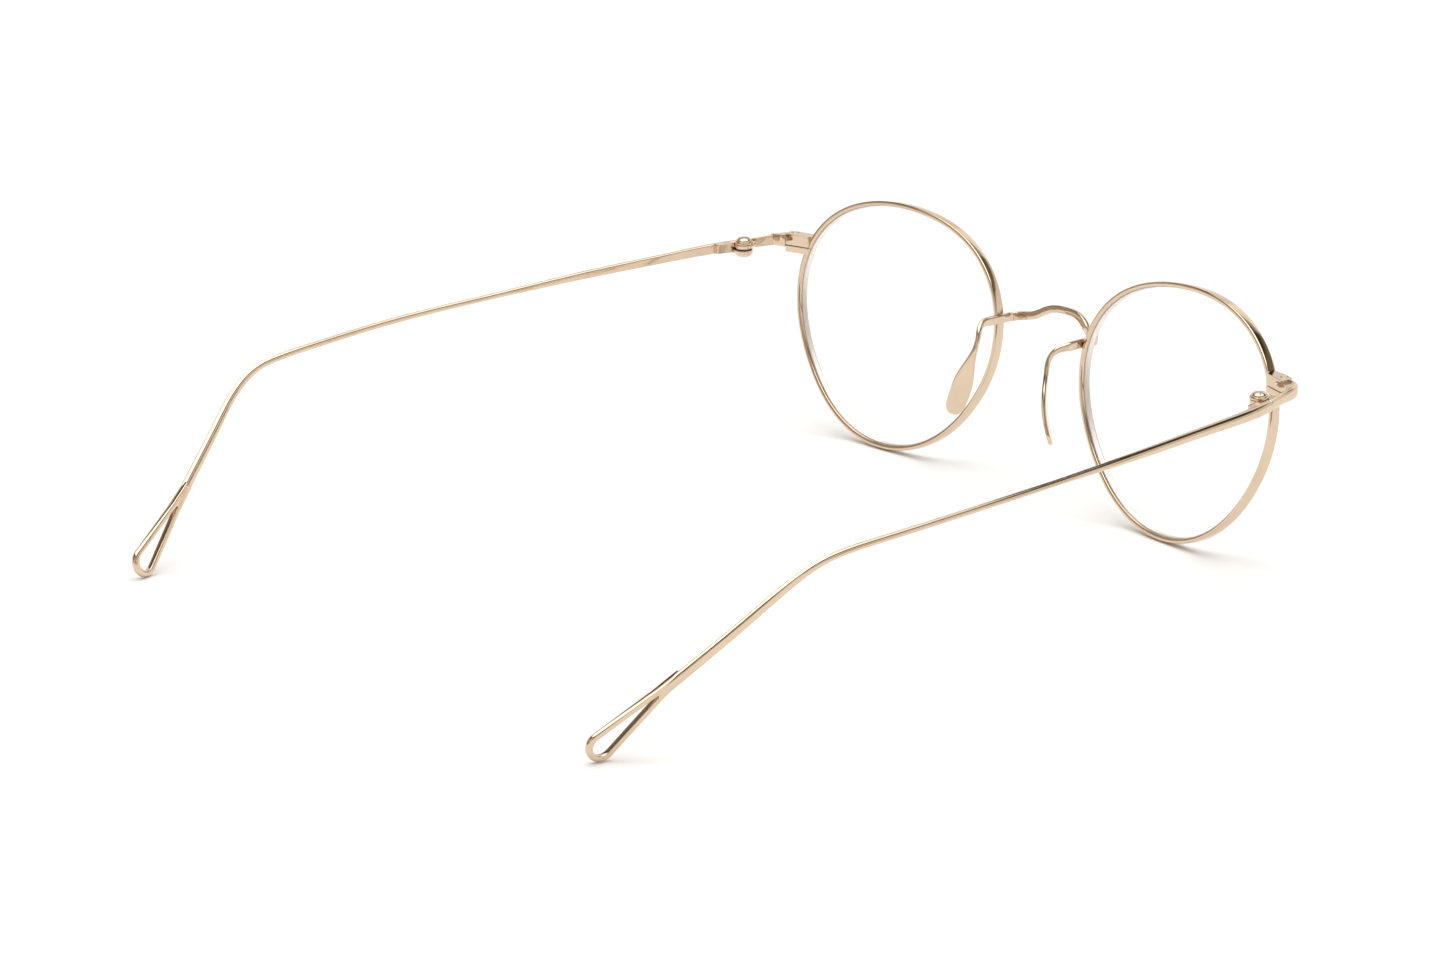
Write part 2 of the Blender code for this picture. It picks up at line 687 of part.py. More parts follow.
def loop_frame():
    """Origin at the slot's apex, X along the loop, Y across it in its plane."""
    apex = np.array(SLOT_APEX)
    along = np.array(LOOP_END) - apex
    length = np.linalg.norm(along)
    along = along / length
    normal = np.array([1.0, 0.0, 0.0])
    normal = normal - along * (normal @ along)
    normal = normal / np.linalg.norm(normal)
    across = np.cross(normal, along)
    return apex, along, across, normal, length


def loop_outlines(length):
    """Teardrop ring: the outer outline and the slot, with straight sides tangent to the round end."""
    spread = math.degrees(math.asin(SLOT_RADIUS / length))
    slot = [(0, 0)] + arc_points(length, 0, SLOT_RADIUS, -90 - spread, 90 + spread, 14)
    outer_radius = SLOT_RADIUS + LOOP_WALL
    outer = arc_points(length, 0, outer_radius, -90 - spread, 90 + spread, 18)
    outer += LOOP_NECK
    outer += [(x, -y) for x, y in reversed(LOOP_NECK)]
    return outer, slot


def loop_mesh(origin, side):
    apex, along, across, normal, length = loop_frame()
    flip = np.array([side, 1, 1])
    columns = [along * flip, across * flip, normal * flip * side]
    place = Matrix.Identity(4)
    for column, axis in enumerate(columns):
        for row in range(3):
            place[row][column] = axis[row]
        place[column][3] = ((apex[column] - origin[column]) * flip[column]) * MM
    return plate_mesh("loop", loop_outlines(length), TIP_PLATE_THICKNESS / 2, place)


def temple(side, left_or_right, parts, cutters, axis, metal):
    origin = (HINGE_X, HINGE_Y, 0)
    end = chord_lengths([row[0] for row in TEMPLE_ROUTE])[-1]
    rings = temple_rings(HINGE_BLOCK_LENGTH + FACE_GAP, end, TEMPLE_SAMPLES, gather=0.45)
    mesh = loft_mesh("temple", rings, origin=origin, side=side)
    item = new_object(left_or_right + "temple", mesh, parts, axis, metal)
    loop = new_object(left_or_right + "tip_loop", loop_mesh(origin, side), parts, axis, metal)
    as_cutter(loop, cutters)
    add_boolean(item, loop, "UNION")
    return item


def temple_hinge_block(side, left_or_right, parts, cutters, axis, metal):
    """Block at the temple's front with the lower knuckle, its domed underside and the screw's bore."""
    origin = (HINGE_X, HINGE_Y, 0)
    rings = temple_rings(SEAM_GAP / 2, HINGE_BLOCK_LENGTH, 5)
    mesh = loft_mesh("hinge_block", rings, origin=origin, side=side)
    item = new_object(left_or_right + "temple_hinge_block", mesh, parts, axis, metal)
    low, high = LOWER_KNUCKLE_Z
    web = arc_points(HINGE_X, HINGE_Y, KNUCKLE_RADIUS * LOWER_DISC_SHARE, 95, 345, 17) + LOWER_WEB
    additions = (("lower_web", web, (LOWER_WEB_Z, high)), ("cheek", CHEEK_OUTLINE, CHEEK_Z))
    for name, outline, z_range in additions:
        added_mesh = upright_plate(name, outline, z_range, origin, side)
        added = new_object(left_or_right + name, added_mesh, parts, axis, metal)
        as_cutter(added, cutters)
        add_boolean(item, added, "UNION")
    dome = [(0, high), (KNUCKLE_RADIUS, high)]
    dome += [(r, z) for r, z in reversed(dome_profile(KNUCKLE_RADIUS, LOWER_WEB_Z, low))]
    dome_item = turned_object(left_or_right + "lower_knuckle", dome, parts, axis, metal, (0, 0, 0))
    as_cutter(dome_item, cutters)
    add_boolean(item, dome_item, "UNION")
    bore_radius = HINGE_SHANK_RADIUS + RUNNING_GAP
    bore_z = (HINGE_SHANK_END_Z - BORE_END_DEPTH, THROUGH_Z[1])
    bore_mesh = cylinder_mesh("bore", bore_radius, bore_z, (HINGE_X, HINGE_Y), origin, side)
    bore = new_object(left_or_right + "hinge_bore_temple", bore_mesh, parts, axis, metal)
    as_cutter(bore, cutters)
    add_boolean(item, bore)
    head_radius = HINGE_HEAD_RADIUS + HEAD_ROOM
    head_z = (UPPER_KNUCKLE_Z[0] - HEAD_ROOM / 2, THROUGH_Z[1])
    head_mesh = cylinder_mesh("head_room", head_radius, head_z, (HINGE_X, HINGE_Y), origin, side)
    head = new_object(left_or_right + "head_room", head_mesh, parts, axis, metal)
    as_cutter(head, cutters)
    add_boolean(item, head)
    return item


# ---- assembly -----------------------------------------------------------------------------------------
def build():
    clear_scene()
    parts = new_collection(NAME)
    cutters = new_collection("cutters")
    gold = new_material("pale_gold_metal", (0.83, 0.68, 0.52), 0.16, 1.0)
    clear = new_material("clear_lens", (0.96, 0.97, 0.97), 0.03, 0.0, 0.15)
    dark = new_material("dark_nylon", (0.06, 0.04, 0.03), 0.5, 0.0)

    seat = new_empty("seat_datum", parts, (0, SEAT_Y, SEAT_Z))
    front = new_empty("front_datum", parts, parent=seat, tilt=PANTOSCOPIC_TILT)
    new_object("bridge_with_nose_pads", bridge_mesh(), parts, front, gold)

    for side, left_or_right in ((1, "left_"), (-1, "right_")):
        axis_place = (HINGE_X * side, HINGE_Y, 0)
        axis = new_empty(left_or_right + "hinge_axis", parts, axis_place, parent=seat)
        new_object(left_or_right + "rim", rim_mesh(side), parts, front, gold)
        new_object(left_or_right + "lens", lens_mesh(side), parts, front, clear)
        rim_space = new_object(left_or_right + "rim_space", rim_clearance_mesh(side), parts, front, gold)
        as_cutter(rim_space, cutters)
        for name, z_range, head in (("upper", UPPER_BLOCK_Z, False), ("lower", LOWER_BLOCK_Z, True)):
            block = left_or_right + "rim_lock_" + name
            closing_block(side, block, z_range, head, parts, cutters, seat, rim_space, gold)
        closing_screw(side, left_or_right, parts, cutters, seat, gold)
        end_piece(side, left_or_right, parts, cutters, seat, gold)
        hinge_washer(side, left_or_right, parts, seat, dark)
        hinge_screw(left_or_right, parts, cutters, axis, gold)
        temple_hinge_block(side, left_or_right, parts, cutters, axis, gold)
        temple(side, left_or_right, parts, cutters, axis, gold)


build()
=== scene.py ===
"""Looks for the round metal eyeglasses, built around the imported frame.

Tables are in millimetres, in the datums that the CAD uses: SEAT lies midway between the lens centres with
world axes, and FRONT leans with the lenses. +X is the wearer's left, +Y runs back along the temples.
"""

import math

import bmesh
import bpy
import numpy as np
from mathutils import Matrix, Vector


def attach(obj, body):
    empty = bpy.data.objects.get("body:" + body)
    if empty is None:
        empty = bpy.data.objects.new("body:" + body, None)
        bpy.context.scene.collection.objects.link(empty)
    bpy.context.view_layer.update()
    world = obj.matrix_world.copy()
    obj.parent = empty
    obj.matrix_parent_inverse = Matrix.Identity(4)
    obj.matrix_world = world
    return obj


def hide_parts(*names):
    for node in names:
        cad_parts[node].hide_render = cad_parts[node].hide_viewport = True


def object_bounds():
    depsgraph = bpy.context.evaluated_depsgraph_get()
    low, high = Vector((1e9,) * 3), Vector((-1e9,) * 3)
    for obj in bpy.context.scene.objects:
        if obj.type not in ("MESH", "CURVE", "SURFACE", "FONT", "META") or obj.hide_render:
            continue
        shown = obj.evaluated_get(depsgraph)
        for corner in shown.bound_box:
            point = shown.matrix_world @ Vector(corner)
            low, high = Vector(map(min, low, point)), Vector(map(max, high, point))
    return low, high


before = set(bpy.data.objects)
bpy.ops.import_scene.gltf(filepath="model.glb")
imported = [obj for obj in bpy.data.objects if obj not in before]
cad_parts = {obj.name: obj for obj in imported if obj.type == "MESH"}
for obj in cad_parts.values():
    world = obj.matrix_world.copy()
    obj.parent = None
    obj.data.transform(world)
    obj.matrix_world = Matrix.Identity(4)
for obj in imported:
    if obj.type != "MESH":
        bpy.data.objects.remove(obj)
cad_low, cad_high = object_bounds()

MM = 0.001
SHARP_ANGLE = math.radians(38)
SEAT_Y, SEAT_Z = -68.0, 21.22
TILT = math.radians(9.0)
WRAP = math.radians(3.64)
LENS_CENTRE_X = 34.25
BASE_CURVE_RADIUS = 130.7

# Rims and lenses. RIM_SKIN is the depth of rim that is soldered into the closing blocks.
RIM_WIDTH, RIM_THICKNESS = 1.92, 0.82
GROOVE_DEPTH, GROOVE_HALF_WIDTH, GROOVE_CENTRE = 0.50, 0.50, -0.10
RIM_SPLIT = math.radians(21.3)
RIM_SPLIT_GAP = 0.14
RIM_CROWN = 0.03
REAR_TILT = 0.07
RIM_SKIN = 0.30
BLOCK_ANGLES = (math.radians(2), math.radians(42))
LENS_GAP = 0.07
LENS_SHARES = (0.04, 0.15, 0.3, 0.45, 0.6, 0.75, 0.88, 0.97, 0.994, 1.0)

# Closing blocks and hinges. An axis is upright, at (x, y), and heights are in the seat datum.
CLOSING_AXIS = (59.47, 2.95)
HINGE_AXIS = (62.79, 11.65)
UPPER_BLOCK_Z = (9.28, 11.25)
LOWER_BLOCK_Z = (8.04, 9.18)
CLOSING_BORE_RADIUS, CLOSING_SHANK_RADIUS, CLOSING_HEAD_RADIUS = 0.67, 0.62, 0.85
SINK_RADIUS, SINK_DEPTH = 0.89, 0.49
KNUCKLE_RADIUS = 1.50
UPPER_KNUCKLE_Z = (9.43, 10.14)
LOWER_KNUCKLE_Z = (7.80, 9.18)
HEAD_RADIUS, HEAD_TOP_Z = 1.56, 11.35
HEAD_BASE_HEIGHT, HEAD_STEP = 0.45, 0.24
SHANK_RADIUS, SHANK_END_Z = 0.62, 8.40
RUNNING_GAP = 0.04
HEAD_ROOM, KNUCKLE_ROOM, SHANK_ROOM = 0.12, 0.06, 0.10
WASHER_INSET = 0.15
BLOCK_EDGE, CHEEK_EDGE, WEB_EDGE, CUTTER_EDGE = 0.10, 0.08, 0.04, 0.01
STRIP_THICKNESS, STRIP_CROWN = 1.0, 0.06
STRIP_END_EDGE = 0.12
SEAM_GAP = 0.14
HINGE_BLOCK_LENGTH = 4.30
TIP_THICKNESS = 1.08
SLOT_RADIUS, LOOP_WALL = 1.47, 1.05
# Heights well below and above the hinge, for cutters that pass right through.
CUT_LOW, CUT_HIGH = 6.0, 13.0


# ---- datums and meshes --------------------------------------------------------------------------------
def seat_to_world(points):
    return (np.asarray(points, float) + (0, SEAT_Y, SEAT_Z)) * MM


def front_to_seat(points):
    p = np.asarray(points, float)
    c, s = math.cos(TILT), math.sin(TILT)
    return np.stack([p[..., 0], p[..., 1] * c - p[..., 2] * s, p[..., 1] * s + p[..., 2] * c], -1)


def mesh_object(name, points, faces, side=1):
    """A mesh from seat-datum points; side -1 mirrors it to the wearer's right."""
    world = seat_to_world(points) * (side, 1, 1)
    work = bmesh.new()
    verts = [work.verts.new(p) for p in world]
    for face in faces:
        work.faces.new([verts[i] for i in face])
    bmesh.ops.recalc_face_normals(work, faces=work.faces)
    mesh = bpy.data.meshes.new(name)
    work.to_mesh(mesh)
    work.free()
    item = bpy.data.objects.new(name, mesh)
    bpy.context.scene.collection.objects.link(item)
    smooth(item)
    return item


def smooth(item):
    item.data.shade_smooth()
    item.data.set_sharp_from_angle(angle=SHARP_ANGLE)


def even_normals(item):
    """Large faces keep their own normal, so that flats stay flat between rounded edges."""
    weighted = item.modifiers.new("even_normals", "WEIGHTED_NORMAL")
    weighted.keep_sharp = True
    weighted.weight = 80


def combine(target, other, operation):
    """Boolean with its result kept on target; other is removed."""
    modifier = target.modifiers.new(operation, "BOOLEAN")
    modifier.object = other
    modifier.operation = operation
    modifier.solver = "EXACT"
    bpy.context.view_layer.update()
    graph = bpy.context.evaluated_depsgraph_get()
    mesh = bpy.data.meshes.new_from_object(target.evaluated_get(graph))
    target.modifiers.remove(modifier)
    target.data = mesh
    bpy.data.objects.remove(other, do_unlink=True)
    smooth(target)
    return target


# ---- curves and sections ------------------------------------------------------------------------------
def spline_points(knots, parameter, samples):
    """Natural cubic spline through the knots, sampled at values of the increasing parameter."""
    knots = np.asarray(knots, float)
    t = np.asarray(parameter, float)
    n = len(t)
    h = np.diff(t)
    system = np.eye(n)
    right = np.zeros((n, knots.shape[1]))
    slope = np.diff(knots, axis=0) / h[:, None]
    for i in range(1, n - 1):
        system[i, i - 1] = h[i - 1]
        system[i, i] = 2 * (h[i - 1] + h[i])
        system[i, i + 1] = h[i]
        right[i] = 6 * (slope[i] - slope[i - 1])
    bend = np.linalg.solve(system, right)
    i = np.clip(np.searchsorted(t, samples) - 1, 0, n - 2)
    s = np.asarray(samples)
    a = ((t[i + 1] - s) / h[i])[:, None]
    b = 1 - a
    size = (h[i] ** 2 / 6)[:, None]
    return a * knots[i] + b * knots[i + 1] + size * ((a**3 - a) * bend[i] + (b**3 - b) * bend[i + 1])


def chord_lengths(points):
    steps = np.linalg.norm(np.diff(np.asarray(points, float), axis=0), axis=1)
    return np.concatenate([[0], np.cumsum(steps)])


def eased(samples, length, values, window=9):
    """Values read between the knots, then averaged with their neighbours so that no kink shows."""
    values = np.asarray(values, float).reshape(len(length), -1)
    out = np.stack([np.interp(samples, length, column) for column in values.T], -1)
    kernel = np.ones(window) / window
    for _ in range(2):
        padded = np.pad(out, ((window // 2, window // 2), (0, 0)), mode="edge")
        out = np.stack([np.convolve(column, kernel, mode="valid") for column in padded.T], -1)
    return out


def arc_points(cx, cy, radius, start, end, steps):
    angles = np.radians(np.linspace(start, end, steps + 1))
    return [(cx + radius * math.cos(a), cy + radius * math.sin(a)) for a in angles]


# Share of the shorter side beside it that a corner may take, so that neighbours never meet.
CORNER_REACH = 0.48
# Places along a long side where its crown is drawn.
CROWN_SHARES = (0.08, 0.25, 0.5, 0.75, 0.92)


def rounded_outline(corners, steps=4, crown=0.0, long_side=0.35):
    """Outline through (x, y, radius) corners, anticlockwise; long sides bulge by crown."""
    count = len(corners)
    points = []
    for i in range(count):
        before, here, after = (np.array(corners[(i + k) % count][:2], float) for k in (-1, 0, 1))
        radius = corners[i][2]
        u, v = before - here, after - here
        reach = CORNER_REACH * min(np.linalg.norm(u), np.linalg.norm(v))
        u, v = u / np.linalg.norm(u), v / np.linalg.norm(v)
        half = 0.5 * math.acos(np.clip(u @ v, -1, 1))
        if radius <= 0 or math.sin(half) > 0.999:
            points.append(here)
            continue
        cut = min(radius / math.tan(half), reach)
        radius = cut * math.tan(half)
        bisector = (u + v) / np.linalg.norm(u + v)
        centre = here + bisector * radius / math.sin(half)
        first, last = here + u * cut - centre, here + v * cut - centre
        turn = math.pi - 2 * half
        for k in range(steps + 1):
            w = k / steps
            arm = (math.sin((1 - w) * turn) * first + math.sin(w * turn) * last) / math.sin(turn)
            points.append(centre + arm)
    if not crown:
        return np.array(points)
    out = []
    for i, here in enumerate(points):
        after = points[(i + 1) % len(points)]
        out.append(here)
        step = after - here
        size = np.linalg.norm(step)
        if i % (steps + 1) != steps or size < long_side:
            continue
        outward = np.array([step[1], -step[0]]) / size
        for share in CROWN_SHARES:
            out.append(here + step * share + outward * crown * (1 - (2 * share - 1) ** 2))
    return np.array(out)


def bar_section(width, thickness, radii, crown=0.02):
    """Bar outline: (across the width, across the thickness), with a radius for each corner."""
    w, t = width / 2 - crown, thickness / 2 - crown
    places = ((w, t), (-w, t), (-w, -t), (w, -t))
    corners = [(*place, radius) for place, radius in zip(places, radii)]
    return rounded_outline(corners, 5, crown, 0)


def sweep(path, tangents, wide, sections):
    """The sections stood across the path, each with its width along the direction called wide."""
    rings = []
    for point, tangent, across, section in zip(path, tangents, wide, sections):
        tangent = tangent / np.linalg.norm(tangent)
        across = np.asarray(across, float)
        across = across - tangent * (across @ tangent)
        across = across / np.linalg.norm(across)
        normal = np.cross(tangent, across)
        rings.append(point + section[:, :1] * across + section[:, 1:] * normal)
    return rings


def end_fillet(ring, outward, radius, steps=3):
    """Rings that round the end of a bar over; ring is the bar's last full section."""
    ring = np.asarray(ring)
    centre = ring.mean(axis=0)
    arms = ring - centre
    reach = np.linalg.norm(arms, axis=1, keepdims=True)
    out = []
    for k in range(1, steps + 1):
        angle = math.pi / 2 * k / steps
        inset = radius * (1 - math.cos(angle))
        shrink = 1 - inset / np.maximum(reach, radius * 1.5)
        out.append(centre + arms * shrink + outward * radius * math.sin(angle))
    return out


def loft(name, rings, side=1, closed=False):
    """A skin over rings of equal counts, with flat ends unless the rings close on themselves."""
    rings = np.asarray(rings, float)
    total, count = rings.shape[:2]
    points = rings.reshape(-1, 3)
    faces = []
    spans = total if closed else total - 1
    for r in range(spans):
        a, b = r * count, (r + 1) % total * count
        for i in range(count):
            j = (i + 1) % count
            faces.append((a + i, a + j, b + j, b + i))
    if not closed:
        faces.append(tuple(range(count)))
        faces.append(tuple((total - 1) * count + i for i in range(count)))
    return mesh_object(name, points, faces, side)


def turned(name, profile, centre, side=1, steps=72):
    """A profile of (radius, height), from the axis at the top to the axis at the bottom, spun about Z."""
    points, faces = [], []
    rows = []
    for radius, z in profile:
        if radius < 1e-6:
            rows.append([len(points)])
            points.append((centre[0], centre[1], z))
            continue
        rows.append(list(range(len(points), len(points) + steps)))
        for k in range(steps):
            a = 2 * math.pi * k / steps
            points.append((centre[0] + radius * math.cos(a), centre[1] + radius * math.sin(a), z))
    for upper, lower in zip(rows, rows[1:]):
        for k in range(steps):
            j = (k + 1) % steps
            if len(upper) == 1:
                faces.append((upper[0], lower[k], lower[j]))
            elif len(lower) == 1:
                faces.append((upper[k], lower[0], upper[j]))
            else:
                faces.append((upper[k], lower[k], lower[j], upper[j]))
    return mesh_object(name, points, faces, side)


def inset_outline(outline, distance):
    """Outline moved inwards along its corner normals; it runs anticlockwise."""
    outline = np.asarray(outline, float)
    before = outline - np.roll(outline, 1, axis=0)
    after = np.roll(outline, -1, axis=0) - outline
    before = before / np.linalg.norm(before, axis=1, keepdims=True)
    after = after / np.linalg.norm(after, axis=1, keepdims=True)
    n1 = np.stack([-before[:, 1], before[:, 0]], 1)
    n2 = np.stack([-after[:, 1], after[:, 0]], 1)
    normal = n1 + n2
    normal = normal / np.linalg.norm(normal, axis=1, keepdims=True)
    stretch = 1 / np.maximum(np.sum(normal * n1, axis=1), 0.5)
    return outline + normal * (distance * stretch)[:, None]


def plate(name, outline, z_range, edge, side=1, steps=3):
    """A plan outline given its height, with its top and bottom edges rounded."""
    outline = np.asarray(outline, float)
    x, y = outline.T
    area = np.sum(x * np.roll(y, -1) - np.roll(x, -1) * y)
    if area < 0:
        outline = outline[::-1]
    low, high = z_range
    rings = []
    for k in range(steps + 1):
        a = math.pi / 2 * k / steps
        ring = inset_outline(outline, edge * (1 - math.sin(a)))
        heights = np.full(len(ring), low + edge * (1 - math.cos(a)))
        rings.append(np.column_stack([ring, heights]))
    for k in range(steps + 1):
        a = math.pi / 2 * k / steps
        ring = inset_outline(outline, edge * (1 - math.cos(a)))
        heights = np.full(len(ring), high - edge * (1 - math.sin(a)))
        rings.append(np.column_stack([ring, heights]))
    return loft(name, rings, side)


# ---- the eye shape ------------------------------------------------------------------------------------
def rim_radius(angle):
    """Outer radius of the rim, for an angle measured from the temple side upwards."""
    return (
        22.31
        + 1.42 * np.cos(2 * angle)
        - 0.12 * np.cos(3 * angle)
        + 0.844 * np.sin(3 * angle)
        + 0.095 * np.sin(5 * angle)
    )


def eye_point(angle, radius, depth):
    """Point of the left eye in the seat datum; depth runs back from the lens's curved middle surface."""
    u = radius * np.cos(angle)
    v = radius * np.sin(angle)
    back = radius**2 / (2 * BASE_CURVE_RADIUS) + depth
    x = LENS_CENTRE_X + u * math.cos(WRAP) - back * math.sin(WRAP)
    y = u * math.sin(WRAP) + back * math.cos(WRAP)
    return front_to_seat(np.stack([x, y, v], -1))


def rim_section():
    """(inset, depth) round the rim: crowned outside, softened lips and the groove that holds the lens."""
    half, inner = RIM_WIDTH / 2 - RIM_CROWN, RIM_THICKNESS
    corners = [
        (RIM_CROWN, -half, 0.20),
        (inner, -half, 0.15),
        (inner, GROOVE_CENTRE - GROOVE_HALF_WIDTH, 0.03),
        (inner - GROOVE_DEPTH, GROOVE_CENTRE, 0.06),
        (inner, GROOVE_CENTRE + GROOVE_HALF_WIDTH, 0.03),
        (inner, half, 0.15),
        (RIM_CROWN, half - REAR_TILT, 0.26),
    ]
    return rounded_outline(corners, 4, RIM_CROWN, 0.40)


def rim(name, side):
    half_gap = RIM_SPLIT_GAP / 2 / rim_radius(RIM_SPLIT)
    angles = np.linspace(RIM_SPLIT + half_gap, RIM_SPLIT + 2 * math.pi - half_gap, 301)
    section = rim_section()
    rings = [eye_point(a, rim_radius(a) - section[:, 0], section[:, 1]) for a in angles]
    return loft(name, rings, side)


def rim_space(name, side):
    """What the closing blocks leave free: the rim, less the skin that they are soldered to, and the eye.

    It runs past the rim's front, and stops just short of its rear face, which the blocks cover.
    """
    front, back = -RIM_WIDTH / 2 - 0.3, RIM_WIDTH / 2 - 0.04
    angles = np.linspace(*BLOCK_ANGLES, 41)
    rings = []
    for a in angles:
        outer = rim_radius(a) - RIM_SKIN
        inner = outer - 3
        corners = np.array([(outer, front), (outer, back), (inner, back), (inner, front)])
        rings.append(eye_point(a, corners[:, 0], corners[:, 1]))
    return loft(name, rings, side)


def lens(name, side):
    """Two curved faces and a V edge that sits in the groove; the attribute "ground" marks the V edge."""
    front = GROOVE_CENTRE - GROOVE_HALF_WIDTH
    back = GROOVE_CENTRE + GROOVE_HALF_WIDTH
    angles = np.linspace(0, 2 * math.pi, 192, endpoint=False)
    full = rim_radius(angles) - RIM_THICKNESS - LENS_GAP
    rings = [eye_point(angles, full * share, front) for share in LENS_SHARES]
    rings.append(eye_point(angles, full + GROOVE_DEPTH, GROOVE_CENTRE))
    rings += [eye_point(angles, full * share, back) for share in reversed(LENS_SHARES)]
    item = loft(name, rings, side)
    ground = item.data.attributes.new("ground", "FLOAT", "POINT")
    edge = len(LENS_SHARES)
    for ring in (edge - 1, edge, edge + 1):
        for index in range(ring * len(angles), (ring + 1) * len(angles)):
            ground.data[index].value = 1.0
    return item


# ---- bridge with nose pads ----------------------------------------------------------------------------
UP = (0, 0, 1)
PAD_ACROSS = (0.62, 0.76, 0.14)
# Left half of one flat strip, in the front datum: point, width, thickness, corner, width direction.
BRIDGE_ROUTE = [
    ((0.00, -4.35, 8.85), 1.25, 0.95, 0.22, UP),
    ((2.70, -4.05, 8.68), 1.30, 0.95, 0.22, UP),
    ((4.60, -3.65, 8.00), 1.38, 0.95, 0.22, UP),
    ((6.20, -3.20, 7.05), 1.42, 0.95, 0.22, UP),
    ((8.00, -2.50, 6.52), 1.45, 0.95, 0.22, UP),
    ((9.55, -2.05, 6.15), 1.50, 0.92, 0.22, UP),
    ((10.12, -0.95, 5.90), 1.55, 0.88, 0.22, UP),
    ((9.90, 1.20, 5.65), 1.55, 0.88, 0.25, UP),
    ((10.05, 3.55, 5.32), 1.55, 1.00, 0.35, UP),
    ((10.05, 4.55, 5.15), 1.50, 1.00, 0.40, UP),
    ((9.35, 6.20, 4.45), 1.15, 0.95, 0.45, (0, 0.6, 0.8)),
    ((8.65, 7.00, 2.80), 0.85, 0.90, 0.42, (0.5, 0.85, 0.1)),
    ((8.75, 7.30, 0.80), 0.90, 0.85, 0.35, PAD_ACROSS),
    ((9.13, 7.62, -1.20), 1.60, 0.75, 0.22, PAD_ACROSS),
    ((9.55, 7.83, -3.15), 2.80, 0.72, 0.18, PAD_ACROSS),
    ((10.03, 7.90, -5.10), 3.45, 0.72, 0.18, PAD_ACROSS),
    ((10.62, 7.85, -7.00), 3.50, 0.72, 0.18, PAD_ACROSS),
    ((11.38, 7.66, -8.95), 3.20, 0.70, 0.18, PAD_ACROSS),
]
PAD_END_RADIUS = 1.90
PAD_END_STEPS = 14


def bridge_rings():
    """The left half's sections, from the middle of the bridge to the rounded end of the pad."""
    points = [row[0] for row in BRIDGE_ROUTE]
    length = chord_lengths(points)
    samples = np.linspace(0, length[-1], 170)
    path = spline_points(points, length, samples)
    sizes = eased(samples, length, [row[1:4] for row in BRIDGE_ROUTE])
    wide = eased(samples, length, [row[4] for row in BRIDGE_ROUTE])
    sections = [bar_section(w, t, (c,) * 4, 0.02) for w, t, c in sizes]
    rings = sweep(path, np.gradient(path, axis=0), wide, sections)
    heading = path[-1] - path[-2]
    heading = heading / np.linalg.norm(heading)
    last = rings[-1]
    centre = last.mean(axis=0)
    across = wide[-1] - heading * (wide[-1] @ heading)
    across = across / np.linalg.norm(across)
    normal = np.cross(heading, across)
    arms = last - centre
    for step in range(1, PAD_END_STEPS + 1):
        angle = math.pi / 2 * step / (PAD_END_STEPS + 0.6)
        shrink = max(math.cos(angle), 0.02)
        ring = centre + np.outer(arms @ across, across) * shrink
        ring = ring + np.outer(arms @ normal, normal) * shrink**0.3
        rings.append(ring + heading * PAD_END_RADIUS * math.sin(angle))
    return rings


def bridge(name):
    left = [front_to_seat(ring) for ring in bridge_rings()]
    right = [ring * (-1, 1, 1) for ring in left[:0:-1]]
    return loft(name, right + left)


# ---- closing blocks, end pieces and hinges --------------------------------------------------------------
BLOCK_OUTLINE = [
    (54.95, 1.45, 0),
    (55.75, 1.40, 0),
    (57.50, 1.42, 0.50),
    (59.00, 1.75, 0.60),
    (60.60, 2.30, 0.40),
    (60.85, 2.75, 0.30),
    (60.55, 4.20, 0.25),
    (60.20, 4.60, 0.20),
    (55.80, 3.35, 0.16),
    (55.80, 2.80, 0),
    (54.95, 2.60, 0),
]
STRIP_ROUTE = [(60.20, 2.40), (61.40, 2.65), (62.62, 3.78), (63.42, 6.00), (64.30, 8.95), (65.22, 11.58)]
STRIP_TOP_Z = (10.95, 10.90, 10.76, 10.62, 10.48, 10.38)
STRIP_BOTTOM_Z = (8.75, 8.72, 8.70, 8.68, 8.68, 8.68)
STRIP_RADII = (0.46, 0.40, 0.12, 0.12)
ROOT_OUTLINE = [
    (60.62, 2.60, 0),
    (61.40, 2.65, 0),
    (62.50, 3.80, 0),
    (63.10, 5.40, 0),
    (62.55, 5.10, 0.8),
    (61.60, 4.72, 0.8),
    (60.42, 4.50, 0),
    (60.62, 4.10, 0),
]
ROOT_Z = (8.76, 10.80)
BLOCK_GAP = 0.05
SLOT_ANGLE = 35
SCOOP_CENTRE = (59.80, 4.90, 10.46)
SCOOP_RADII = (1.50, 1.05, 0.44)
UPPER_WEB = [(61.65, 10.45), (62.25, 9.55), (62.90, 8.90), (63.55, 8.10), (64.25, 9.00), (65.15, 11.45)]
CHEEK_OUTLINE = [
    (64.30, 12.30, 0),
    (65.30, 12.30, 0),
    (65.80, 15.95, 0),
    (64.62, 15.95, 0.16),
    (63.90, 12.60, 0),
]
CHEEK_Z = (8.64, 10.30)
LOWER_WEB = [(64.35, 11.75), (65.30, 11.75), (65.60, 13.40), (64.60, 13.40)]
DOME_RIM_Z = 8.62
SEAM_EDGE = 0.05


def ball(name, centre, radii, side):
    """An ellipsoid, made from a unit ball in the seat datum."""
    angles = np.linspace(0, math.pi, 25)
    item = turned(name, [(math.sin(a), math.cos(a)) for a in angles], (0, 0), 1, 48)
    for vertex in item.data.vertices:
        unit = np.array(vertex.co) / MM - (0, SEAT_Y, SEAT_Z)
        vertex.co = Vector(seat_to_world(unit * radii + centre) * (side, 1, 1))
    if side < 0:
        item.data.flip_normals()
    return item


def bar_profile(radius, low, high):
    """Profile of a plain round bar, for turned()."""
    return [(0, high), (radius, high), (radius, low), (0, low)]


